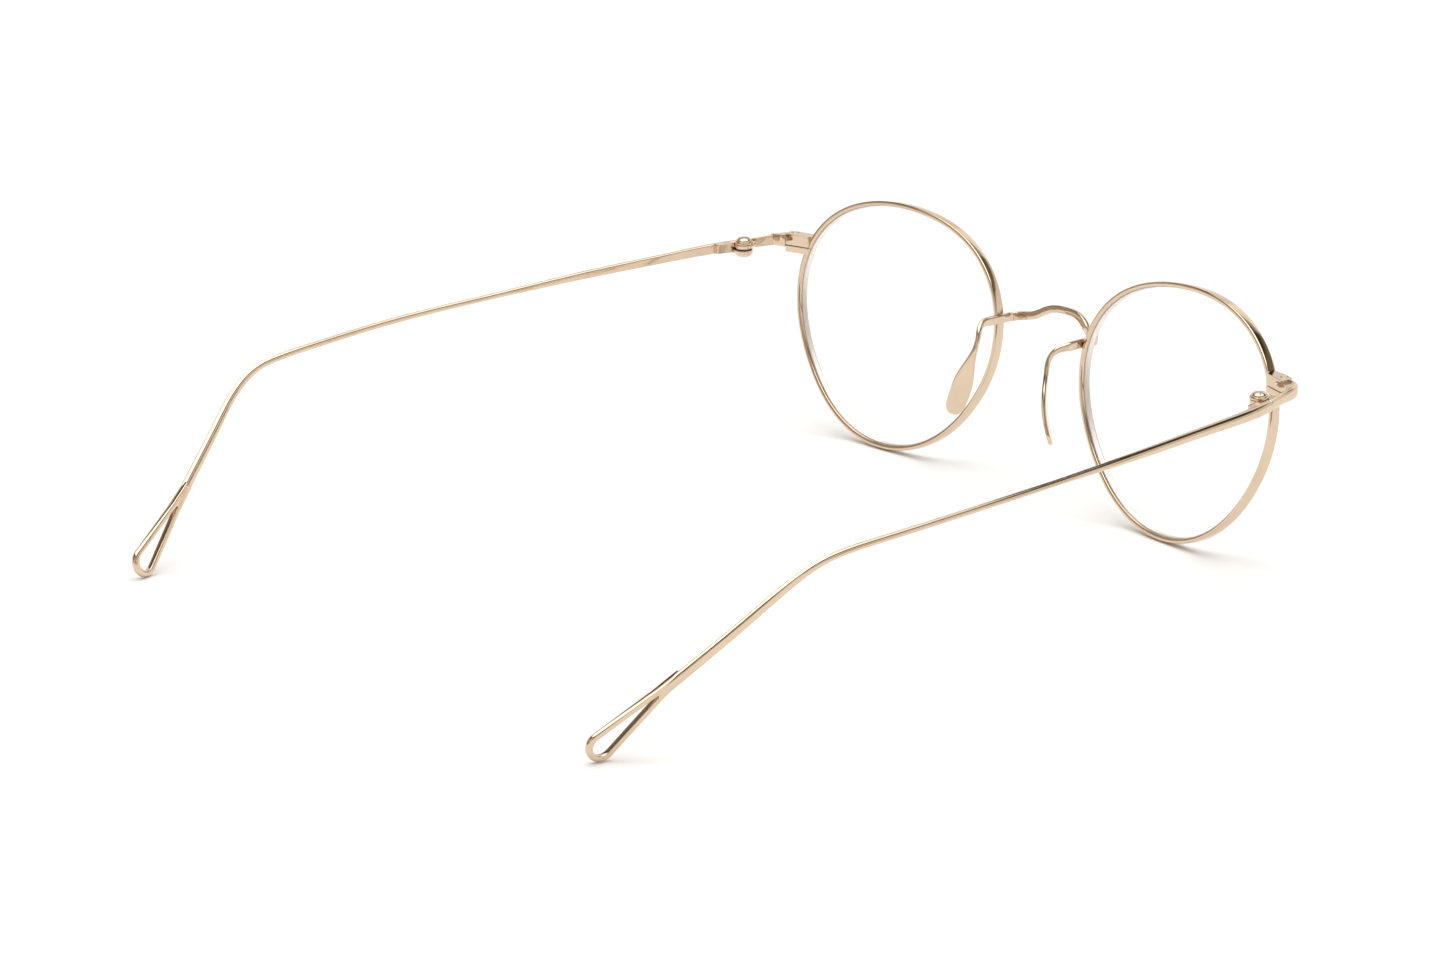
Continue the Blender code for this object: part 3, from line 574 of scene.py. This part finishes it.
def drilled(item, axis, radius, side, low=CUT_LOW, high=CUT_HIGH):
    """The item with an upright round hole from low to high."""
    bore = turned(item.name + "_bore", bar_profile(radius, low, high), axis, side)
    return combine(item, bore, "DIFFERENCE")


def scooped(item, side):
    return combine(item, ball(item.name + "_scoop", SCOOP_CENTRE, SCOOP_RADII, side), "DIFFERENCE")


def end_piece(name, side):
    length = chord_lengths(STRIP_ROUTE)
    samples = np.linspace(0, length[-1] - STRIP_END_EDGE, 90)
    plan = spline_points(STRIP_ROUTE, length, samples)
    top = eased(samples, length, STRIP_TOP_Z)[:, 0]
    bottom = eased(samples, length, STRIP_BOTTOM_Z)[:, 0]
    path = np.column_stack([plan, (top + bottom) / 2])
    tangents = np.gradient(path, axis=0)
    sections = [bar_section(h, STRIP_THICKNESS, STRIP_RADII, STRIP_CROWN) for h in top - bottom]
    rings = sweep(path, tangents, [UP] * len(path), sections)
    outward = tangents[-1] / np.linalg.norm(tangents[-1])
    rings += end_fillet(rings[-1], outward, STRIP_END_EDGE)
    item = loft(name, rings, side)
    disc = [(x, y, 0) for x, y in arc_points(*HINGE_AXIS, KNUCKLE_RADIUS, 20, 200, 30)]
    outline = rounded_outline(disc + [(x, y, 0.3) for x, y in UPPER_WEB], 4)
    knuckle = plate(name + "_knuckle", outline, UPPER_KNUCKLE_Z, BLOCK_EDGE, side)
    item = combine(item, knuckle, "UNION")
    root = plate(name + "_root", rounded_outline(ROOT_OUTLINE, 5), ROOT_Z, BLOCK_EDGE, side)
    item = combine(item, root, "UNION")
    room = inset_outline(rounded_outline(BLOCK_OUTLINE, 5), -BLOCK_GAP)
    room = plate(name + "_room", room, (CUT_LOW, CUT_HIGH), CUTTER_EDGE, side, 1)
    item = combine(item, room, "DIFFERENCE")
    return drilled(scooped(item, side), HINGE_AXIS, SHANK_RADIUS + RUNNING_GAP, side)


def closing_block(name, z_range, side):
    item = plate(name, rounded_outline(BLOCK_OUTLINE, 5), z_range, BLOCK_EDGE, side)
    return combine(item, rim_space(name + "_rim_space", side), "DIFFERENCE")


def upper_closing_block(name, side):
    item = scooped(closing_block(name, UPPER_BLOCK_Z, side), side)
    return drilled(item, CLOSING_AXIS, CLOSING_BORE_RADIUS, side)


def lower_closing_block(name, side):
    item = closing_block(name, LOWER_BLOCK_Z, side)
    item = drilled(item, CLOSING_AXIS, CLOSING_BORE_RADIUS, side)
    return drilled(item, CLOSING_AXIS, SINK_RADIUS, side, high=LOWER_BLOCK_Z[0] + SINK_DEPTH)


def slotted(item, centre, width, length, z_range, side):
    """The item with a screwdriver slot cut at SLOT_ANGLE across its axis."""
    a = math.radians(SLOT_ANGLE)
    along = np.array([math.cos(a), math.sin(a)]) * length / 2
    across = np.array([-math.sin(a), math.cos(a)]) * width / 2
    corners = [along * i + across * j for i, j in ((1, 1), (-1, 1), (-1, -1), (1, -1))]
    outline = [(centre[0] + p[0], centre[1] + p[1]) for p in corners]
    slot = plate(item.name + "_slot", outline, z_range, CUTTER_EDGE, side, 1)
    return combine(item, slot, "DIFFERENCE")


def closing_screw(name, side):
    """A flush tip in the upper block's top, and a slotted head sunk into the lower block."""
    base, top = LOWER_BLOCK_Z[0], UPPER_BLOCK_Z[1]
    shank, wide = CLOSING_SHANK_RADIUS, CLOSING_HEAD_RADIUS
    tip = [(0, top + 0.02), (0.35, top + 0.01), (0.55, top - 0.02), (shank, top - 0.08)]
    head = [(shank, base + 0.45), (wide, base + 0.45), (wide, base + 0.13), (wide - 0.08, base + 0.05)]
    head.append((0, base + 0.05))
    item = turned(name, tip + head, CLOSING_AXIS, side)
    return slotted(item, CLOSING_AXIS, 0.25, 3, (base - 1, base + 0.28), side)


def hinge_screw(name, side):
    """A domed head on a round base, and a shank down through both knuckles."""
    seat = UPPER_KNUCKLE_Z[1] + RUNNING_GAP
    ledge = seat + HEAD_BASE_HEIGHT
    radius, dome = HEAD_RADIUS, HEAD_RADIUS - HEAD_STEP
    foot = ledge + 0.10
    profile = []
    for k in range(13):
        a = math.pi / 2 * k / 12
        profile.append((dome * math.sin(a), foot + (HEAD_TOP_Z - foot) * math.cos(a)))
    profile += [(dome, ledge + 0.02), (dome + 0.05, ledge - 0.02), (radius - 0.10, ledge)]
    profile += [(radius - 0.03, ledge - 0.03), (radius, ledge - 0.10), (radius, seat + 0.06)]
    profile += [(radius - 0.06, seat), (SHANK_RADIUS, seat), (SHANK_RADIUS, SHANK_END_Z), (0, SHANK_END_Z)]
    item = turned(name, profile, HINGE_AXIS, side)
    return slotted(item, HINGE_AXIS, 0.28, 5, (HEAD_TOP_Z - 0.30, CUT_HIGH), side)


def hinge_washer(name, side):
    low, high = LOWER_KNUCKLE_Z[1] + RUNNING_GAP, UPPER_KNUCKLE_Z[0] - RUNNING_GAP
    item = turned(name, bar_profile(KNUCKLE_RADIUS - WASHER_INSET, low, high), HINGE_AXIS, side)
    return drilled(item, HINGE_AXIS, SHANK_RADIUS + RUNNING_GAP, side)


# ---- temples ------------------------------------------------------------------------------------------
# Point on the middle line, height and thickness.
TEMPLE_ROUTE = [
    ((65.08, 11.65, 9.48), 1.85, 1.40),
    ((65.75, 14.00, 9.42), 1.82, 1.40),
    ((67.20, 24.20, 9.18), 1.55, 1.25),
    ((68.80, 39.70, 8.82), 1.38, 1.18),
    ((70.10, 60.30, 8.19), 0.95, 1.05),
    ((70.80, 81.00, 7.47), 1.02, 1.05),
    ((70.28, 96.50, 6.57), 1.06, 1.05),
    ((69.98, 104.80, 5.86), 1.10, 1.05),
    ((69.92, 108.00, 5.22), 1.15, 1.06),
    ((69.27, 112.40, 3.18), 1.35, 1.08),
    ((66.67, 119.33, -2.18), 1.50, 1.08),
    ((64.59, 124.02, -6.01), 1.60, 1.08),
    ((61.70, 130.50, -11.18), 1.70, 1.08),
]
# The loop lies in a plane through the slot's narrow end and the centre of its round end.
SLOT_APEX = (61.45, 131.10, -11.60)
LOOP_END = (58.34, 139.78, -18.66)
SLOT_START, SLOT_TIP_RADIUS = 0.55, 0.16
LOOP_NECK = [(-4.0, 0.68), (-2.0, 0.82), (0.5, 1.00)]
LOOP_SIDE_POINTS = 26
LOOP_EDGES = (0.42, 0.20, 0.20, 0.42)
BAR_END_TRIM = 0.2
# Radii of the outer top, outer bottom, inner bottom and inner top edges at lengths along the temple.
TEMPLE_EDGE_LENGTHS = (0.0, 18.0, 45.0, 75.0, 110.0, 130.0)
TEMPLE_EDGES = [
    (0.64, 0.50, 0.20, 0.22),
    (0.58, 0.45, 0.22, 0.28),
    (0.50, 0.40, 0.30, 0.42),
    (0.44, 0.36, 0.34, 0.44),
    (0.46, 0.30, 0.30, 0.46),
    (0.46, 0.26, 0.24, 0.40),
]


def temple_rings(start, end, count):
    """The temple's sections between two lengths along it, and their directions."""
    points = [row[0] for row in TEMPLE_ROUTE]
    length = chord_lengths(points)
    samples = np.linspace(start, end, count)
    sizes = eased(samples, length, [row[1:] for row in TEMPLE_ROUTE], 15)
    path = spline_points(points, length, samples)
    ahead, behind = (spline_points(points, length, samples + step) for step in (0.01, -0.01))
    tangents = ahead - behind
    wide = np.cross((1.0, 0.0, 0.0), tangents)
    columns = zip(*TEMPLE_EDGES)
    edges = np.stack([np.interp(samples, TEMPLE_EDGE_LENGTHS, column) for column in columns], 1)
    sections = [bar_section(h, t, radii) for (h, t), radii in zip(sizes, edges)]
    unit = tangents / np.linalg.norm(tangents, axis=1, keepdims=True)
    return sweep(path, tangents, wide, sections), unit


def loop_frame():
    """The slot's narrow end, the slot's direction, the directions across and through it, and its length."""
    apex = np.array(SLOT_APEX)
    along = np.array(LOOP_END) - apex
    length = np.linalg.norm(along)
    along = along / length
    normal = np.array([1.0, 0.0, 0.0])
    normal = normal - along * (normal @ along)
    normal = normal / np.linalg.norm(normal)
    return apex, along, np.cross(normal, along), normal, length


def resampled(outline, count):
    """An open outline as count points at even spacing."""
    length = chord_lengths(outline)
    even = np.linspace(0, length[-1], count)
    outline = np.asarray(outline, float)
    return np.column_stack([np.interp(even, length, outline[:, k]) for k in range(2)])


def loop_outline(straight, turn):
    """One side, the round end and the other side, all in the loop's own plane."""
    side_line = resampled(straight + [turn[0]], LOOP_SIDE_POINTS)[:-1]
    return np.vstack([side_line, turn, (side_line * (1, -1))[::-1]])


def loop_piece(name, side):
    """The teardrop ring, lofted round its slot: each section runs from the slot out to the edge."""
    apex, along, across, normal, length = loop_frame()
    spread = math.degrees(math.asin(SLOT_RADIUS / length))
    turn = (-90 - spread, 90 + spread, 60)
    blunt = arc_points(SLOT_START + SLOT_TIP_RADIUS, 0, SLOT_TIP_RADIUS, -180, -95, 6)
    inner = loop_outline(blunt, arc_points(length, 0, SLOT_RADIUS, *turn))
    reach = chord_lengths(LOOP_NECK)
    neck = spline_points(LOOP_NECK, reach, np.linspace(0, reach[-1], 9))
    outer = loop_outline([(x, -y) for x, y in neck], arc_points(length, 0, SLOT_RADIUS + LOOP_WALL, *turn))
    rings = []
    for near, far in zip(inner, outer):
        width = np.linalg.norm(far - near)
        section = bar_section(width, TIP_THICKNESS, LOOP_EDGES, 0.015)
        flat = (near + far) / 2 + section[:, :1] * (far - near) / width
        in_plane = np.outer(flat[:, 0], along) + np.outer(flat[:, 1], across)
        rings.append(apex + in_plane + np.outer(section[:, 1], normal))
    return loft(name, rings, side, closed=True)


def temple(name, side):
    """The bar from the hinge block to just inside the loop."""
    end = chord_lengths([row[0] for row in TEMPLE_ROUTE])[-1]
    rings, _ = temple_rings(HINGE_BLOCK_LENGTH, end - BAR_END_TRIM, 420)
    return loft(name, rings, side)


def lower_knuckle(name, side):
    """A straight drum with a softened top edge, closed by a dome underneath."""
    low, high = LOWER_KNUCKLE_Z
    radius = KNUCKLE_RADIUS
    profile = [(0, high), (radius - 0.08, high), (radius - 0.02, high - 0.03), (radius, high - 0.10)]
    for k in range(12):
        a = math.pi / 2 * k / 12
        profile.append((radius * math.cos(a), DOME_RIM_Z - (DOME_RIM_Z - low) * math.sin(a)))
    return turned(name, profile + [(0, low)], HINGE_AXIS, side)


def temple_hinge_block(name, side):
    rings, unit = temple_rings(SEAM_GAP / 2 + SEAM_EDGE, HINGE_BLOCK_LENGTH, 24)
    item = loft(name, end_fillet(rings[0], -unit[0], SEAM_EDGE)[::-1] + rings, side)
    cheek = plate(name + "_cheek", rounded_outline(CHEEK_OUTLINE, 4), CHEEK_Z, CHEEK_EDGE, side)
    item = combine(item, cheek, "UNION")
    outline = arc_points(*HINGE_AXIS, KNUCKLE_RADIUS * 0.97, 95, 345, 40) + LOWER_WEB
    web = plate(name + "_web", outline, (DOME_RIM_Z, LOWER_KNUCKLE_Z[1]), WEB_EDGE, side, 2)
    item = combine(item, web, "UNION")
    item = combine(item, lower_knuckle(name + "_knuckle", side), "UNION")
    item = drilled(item, HINGE_AXIS, SHANK_RADIUS + RUNNING_GAP, side, low=SHANK_END_Z - SHANK_ROOM)
    # Room for the upper knuckle and the screw's head.
    return drilled(item, HINGE_AXIS, HEAD_RADIUS + HEAD_ROOM, side, low=UPPER_KNUCKLE_Z[0] - KNUCKLE_ROOM)


# ---- materials ----------------------------------------------------------------------------------------
BEVEL_COLOR = (0.99, 0.965, 0.94)
BEVEL_ROUGHNESS, BEVEL_OPACITY = 0.42, 0.9


class Graph:
    """Short-hand for building node trees."""

    def __init__(self, tree):
        self.tree = tree
        tree.nodes.clear()

    def node(self, kind, **settings):
        made = self.tree.nodes.new(kind)
        for key, value in settings.items():
            setattr(made, key, value)
        return made

    def link(self, source, target):
        self.tree.links.new(source, target)

    def feed(self, target, value):
        """A socket is linked; a number or a colour becomes the target's own value."""
        if isinstance(value, (int, float)):
            target.default_value = value
        elif isinstance(value, tuple):
            target.default_value = (*value, 1)
        else:
            self.link(value, target)

    def math(self, operation, a, b=None, clamp=False):
        made = self.node("ShaderNodeMath", operation=operation, use_clamp=clamp)
        for slot, value in enumerate((a, b)):
            if value is not None:
                self.feed(made.inputs[slot], value)
        return made.outputs[0]

    def ramp(self, factor, stops):
        """A colour ramp through (place, colour or grey level) stops."""
        made = self.node("ShaderNodeValToRGB")
        ramp = made.color_ramp
        while len(ramp.elements) < len(stops):
            ramp.elements.new(0.5)
        for element, (place, color) in zip(ramp.elements, stops):
            element.position = place
            element.color = (*color, 1) if isinstance(color, tuple) else (color, color, color, 1)
        self.link(factor, made.inputs[0])
        return made.outputs[0]

    def blend(self, factor, first, second, kind="MIX"):
        """Two colours mixed by the factor; each is a socket or an (r, g, b)."""
        made = self.node("ShaderNodeMix", data_type="RGBA", blend_type=kind)
        for slot, value in ((0, factor), (6, first), (7, second)):
            self.feed(made.inputs[slot], value)
        return made.outputs[2]

    def noise(self, scale, detail=2.0):
        """Noise in object coordinates, so that it stays with the piece."""
        made = self.node("ShaderNodeTexNoise")
        made.inputs["Scale"].default_value = scale
        made.inputs["Detail"].default_value = detail
        self.link(self.node("ShaderNodeTexCoord").outputs["Object"], made.inputs["Vector"])
        return made.outputs["Fac"]


def new_material(name):
    """A material with one Principled shader: the material, its graph and the shader's inputs."""
    material = bpy.data.materials.new(name)
    material.use_nodes = True
    g = Graph(material.node_tree)
    shader = g.node("ShaderNodeBsdfPrincipled")
    g.link(shader.outputs[0], g.node("ShaderNodeOutputMaterial").inputs[0])
    return material, g, shader.inputs


def gold_material():
    """Polished plate: a slightly uneven tint, painted shade that darkens each crease, and fine wear in its
    gloss.
    """
    material, g, inputs = new_material("polished_pale_gold")
    inputs["Metallic"].default_value = 1.0
    cloud = g.noise(160, 3)
    tint = g.ramp(cloud, [(0.3, (0.675, 0.535, 0.395)), (0.7, (0.72, 0.575, 0.432))])
    # Painted shade: the base colour is darkened wherever the surface is concave, in the creases and between
    # joined parts.
    pointiness = g.node("ShaderNodeNewGeometry").outputs["Pointiness"]
    painted_crease_shade = g.ramp(pointiness, [(0.46, (0.66, 0.61, 0.54)), (0.5, 1.0)])
    g.link(g.blend(1.0, tint, painted_crease_shade, "MULTIPLY"), inputs["Base Color"])
    g.link(g.ramp(g.noise(900, 4), [(0.35, 0.07), (0.75, 0.15)]), inputs["Roughness"])
    bump = g.node("ShaderNodeBump")
    bump.inputs["Strength"].default_value = 0.12
    bump.inputs["Distance"].default_value = 0.00002
    g.link(cloud, bump.inputs["Height"])
    g.link(bump.outputs[0], inputs["Normal"])
    return material


def lens_material():
    """Thin clear plastic with a faint shine that grows towards grazing, and a ground, milky bevel."""
    material, g, inputs = new_material("clear_lens")
    smudge = g.noise(60, 5)
    bevel = g.node("ShaderNodeAttribute", attribute_name="ground").outputs["Fac"]
    polish = g.ramp(smudge, [(0.4, 0.03), (0.8, 0.08)])
    g.link(g.math("MAXIMUM", polish, g.math("MULTIPLY", bevel, BEVEL_ROUGHNESS)), inputs["Roughness"])
    # The bevel mirrors the light inside the lens, so it shines like pale metal.
    g.link(bevel, inputs["Metallic"])
    clear = g.ramp(smudge, [(0.3, (0.80, 0.83, 0.83)), (0.7, (0.74, 0.76, 0.77))])
    g.link(g.blend(bevel, clear, BEVEL_COLOR), inputs["Base Color"])
    facing = g.node("ShaderNodeLayerWeight")
    facing.inputs["Blend"].default_value = 0.35
    shine = g.ramp(facing.outputs["Facing"], [(0.35, 0.035), (1.0, 0.40)])
    lit = g.math("SUBTRACT", 1.0, g.node("ShaderNodeLightPath").outputs["Is Shadow Ray"])
    solid = g.math("MAXIMUM", shine, g.math("MULTIPLY", bevel, BEVEL_OPACITY))
    g.link(g.math("MULTIPLY", solid, lit), inputs["Alpha"])
    return material


def washer_material():
    material, g, inputs = new_material("dark_nylon")
    grain = g.noise(3000)
    g.link(g.ramp(grain, [(0.3, (0.035, 0.02, 0.015)), (0.7, (0.08, 0.05, 0.04))]), inputs["Base Color"])
    g.link(g.ramp(grain, [(0.3, 0.4), (0.7, 0.6)]), inputs["Roughness"])
    return material


def floor_material():
    material, g, inputs = new_material("pale_floor")
    inputs["Roughness"].default_value = 0.8
    inputs["Specular IOR Level"].default_value = 0.1
    g.link(g.ramp(g.noise(40), [(0.3, 0.93), (0.7, 0.95)]), inputs["Base Color"])
    return material


# ---- studio -------------------------------------------------------------------------------------------
TABLE_COLOR = (1.17, 1.16, 1.15)
TABLE_HALF_SIZE = 0.45
TABLE_GAP = 0.00005
BACKDROP_LOW = (0.98, 0.97, 0.95)
BACKDROP_HIGH = (0.86, 0.84, 0.80)
GAP_COLOR = (0.19, 0.155, 0.11)
GAP_DEEP = (0.035, 0.03, 0.02)
WALL_LOW = (0.44, 0.355, 0.28)
LIGHT_COLOR = (1.28, 1.27, 1.25)
# Edges in degrees of elevation: mean, swing, waves per turn, azimuth of the highest point.
GAP_LOWER_EDGE = (27.0, 11.0, 1.5, -45.0)
GAP_UPPER_EDGE = (53.0, 5.0, 1.2, -50.0)
# Where one colour gives way to the next: degrees of elevation, and the degrees that the change takes.
HORIZON = (0.0, 0.5)
BACKDROP_CHANGE = (8.0, 14.0)
TABLE_LINE_START, TABLE_LINE_END = (0.3, 0.8), (4.0, 1.5)
GAP_CHANGE = (36.0, 6.0)
WALL_START, WALL_END = (-5.5, 1.5), (28.0, 10.0)
CARD_START, CARD_END = (6.0, 1.0), (40.0, 2.0)
GAP_LOWER_SOFTNESS, GAP_UPPER_SOFTNESS = 2.0, 3.0
CARD_AZIMUTH = 108.0
# Half width in radians, and how sharply its sides end.
CARD_HALF_WIDTH, CARD_SHARPNESS = 0.22, 12.0
# The table's line shows where x is under LINE_SIDE. The wall takes over from y = WALL_SIDE onwards.
LINE_SIDE, LINE_SHARPNESS = -0.1, 3.0
WALL_SIDE, WALL_CHANGE = 0.10, 0.3
# Name, place, size and power of each lamp; all aim at the glasses.
LAMPS = (
    ("overhead", (0.0, 0.0, 1.2), 2.0, 14.0),
    ("front_fill", (0.5, -1.5, 0.9), 0.8, 0.6),
)
CAMERA_PLACE = (-0.732681, 0.602733, 0.305698)
CAMERA_TURN = (72.95165, 0.51514, -129.57652)
CAMERA_LENS = 155.8589


def surroundings():
    """What the metal mirrors: bands of light and dark by direction, in degrees above the horizon."""
    world = bpy.data.worlds.new("studio")
    bpy.context.scene.world = world
    world.use_nodes = True
    g = Graph(world.node_tree)
    back = g.node("ShaderNodeBackground")
    g.link(back.outputs[0], g.node("ShaderNodeOutputWorld").inputs[0])
    split = g.node("ShaderNodeSeparateXYZ")
    g.link(g.node("ShaderNodeTexCoord").outputs["Generated"], split.inputs[0])
    x, y, z = split.outputs
    height = g.math("MULTIPLY", g.math("ARCSINE", z), 180 / math.pi)
    azimuth = g.math("ARCTAN2", y, x)

    def wave(base, swing, rate, centre):
        """An edge's elevation in degrees, highest at the azimuth called centre."""
        turn = g.math("MULTIPLY", g.math("SUBTRACT", azimuth, math.radians(centre)), rate)
        return g.math("ADD", g.math("MULTIPLY", g.math("COSINE", turn), swing), base)

    def above(edge, softness):
        """0 below the edge, rising to 1 over the softness."""
        return g.math("DIVIDE", g.math("SUBTRACT", height, edge), softness, clamp=True)

    def below(edge, softness):
        return g.math("SUBTRACT", 1.0, above(edge, softness))

    # In front: a pale backdrop, then a dark gap. A dark line marks the table's far edge.
    backdrop = g.blend(above(*BACKDROP_CHANGE), BACKDROP_LOW, BACKDROP_HIGH)
    backdrop = g.blend(above(*HORIZON), TABLE_COLOR, backdrop)
    line = g.math("MULTIPLY", above(*TABLE_LINE_START), below(*TABLE_LINE_END))
    side = g.math("MULTIPLY", g.math("SUBTRACT", LINE_SIDE, x), LINE_SHARPNESS, clamp=True)
    backdrop = g.blend(g.math("MULTIPLY", line, side), backdrop, GAP_COLOR)
    gap = g.blend(above(*GAP_CHANGE), GAP_COLOR, GAP_DEEP)
    front = g.blend(above(wave(*GAP_LOWER_EDGE), GAP_LOWER_SOFTNESS), backdrop, gap)
    # Behind: a tan wall with one tall pale card.
    wall = g.blend(above(*WALL_START), TABLE_COLOR, WALL_LOW)
    wall = g.blend(above(*WALL_END), wall, GAP_DEEP)
    near = g.math("ABSOLUTE", g.math("SUBTRACT", azimuth, math.radians(CARD_AZIMUTH)))
    across = g.math("MULTIPLY", g.math("SUBTRACT", CARD_HALF_WIDTH, near), CARD_SHARPNESS, clamp=True)
    card = g.math("MULTIPLY", g.math("MULTIPLY", below(*CARD_END), above(*CARD_START)), across)
    wall = g.blend(card, wall, LIGHT_COLOR)
    # Over both: the overhead light.
    behind = g.math("DIVIDE", g.math("SUBTRACT", y, WALL_SIDE), WALL_CHANGE, clamp=True)
    overhead = above(wave(*GAP_UPPER_EDGE), GAP_UPPER_SOFTNESS)
    g.link(g.blend(overhead, g.blend(behind, front, wall), LIGHT_COLOR), back.inputs["Color"])
    back.inputs["Strength"].default_value = 1.0


def place(name, data):
    item = bpy.data.objects.new(name, data)
    bpy.context.scene.collection.objects.link(item)
    return item


def floor():
    mesh = bpy.data.meshes.new("floor")
    h, z = TABLE_HALF_SIZE, cad_low.z - TABLE_GAP
    mesh.from_pydata([(-h, -h, z), (h, -h, z), (h, h, z), (-h, h, z)], [], [(0, 1, 2, 3)])
    mesh.materials.append(floor_material())
    place("floor", mesh)


def lamps():
    for name, position, size, power in LAMPS:
        lamp = bpy.data.lights.new(name, "AREA")
        lamp.shape = "SQUARE"
        lamp.size = size
        lamp.energy = power
        item = place(name, lamp)
        item.location = position
        item.rotation_euler = (-Vector(position)).to_track_quat("-Z", "Y").to_euler()


def camera():
    item = place("camera", bpy.data.cameras.new("camera"))
    item.location = CAMERA_PLACE
    item.rotation_euler = [math.radians(v) for v in CAMERA_TURN]
    item.data.lens = CAMERA_LENS
    item.data.sensor_width = 36
    item.data.clip_start, item.data.clip_end = 0.01, 20
    bpy.context.scene.camera = item


# ---- assembly -----------------------------------------------------------------------------------------
LOOKS = {"pale_gold": gold_material(), "clear_lens": lens_material(), "dark_nylon": washer_material()}
# Each side's pieces: maker, piece, CAD node that it replaces, and material slot.
FRONT_PIECES = (
    (rim, "rim_wire", "rim", "pale_gold"),
    (lens, "clear_lens", "lens", "clear_lens"),
    (upper_closing_block, "upper_closing_block", "rim_lock_upper", "pale_gold"),
    (lower_closing_block, "lower_closing_block", "rim_lock_lower", "pale_gold"),
    (closing_screw, "closing_screw", "rim_lock_screw", "pale_gold"),
    (end_piece, "corner_piece", "end_piece", "pale_gold"),
    (hinge_washer, "washer", "hinge_washer", "dark_nylon"),
)
TEMPLE_PIECES = (
    (hinge_screw, "domed_screw", "hinge_screw", "pale_gold"),
    (temple_hinge_block, "hinge_block", "temple_hinge_block", "pale_gold"),
    (temple, "temple_bar", "temple", "pale_gold"),
    (loop_piece, "temple_loop", None, "pale_gold"),
)


def finish_piece(item, body, node, slot):
    item.data.materials.clear()
    item.data.materials.append(LOOKS[slot])
    even_normals(item)
    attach(item, body)
    if node:
        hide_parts(node)


def build():
    finish_piece(bridge("bridge_strip_with_pads"), "front", "bridge_with_nose_pads", "pale_gold")
    for side, hand in ((1, "left_"), (-1, "right_")):
        for body, pieces in (("front", FRONT_PIECES), (hand + "temple", TEMPLE_PIECES)):
            for maker, piece, node, slot in pieces:
                finish_piece(maker(hand + piece, side), body, node and hand + node, slot)


build()
bpy.context.scene.view_settings.view_transform = "Standard"
surroundings()
floor()
lamps()
camera()
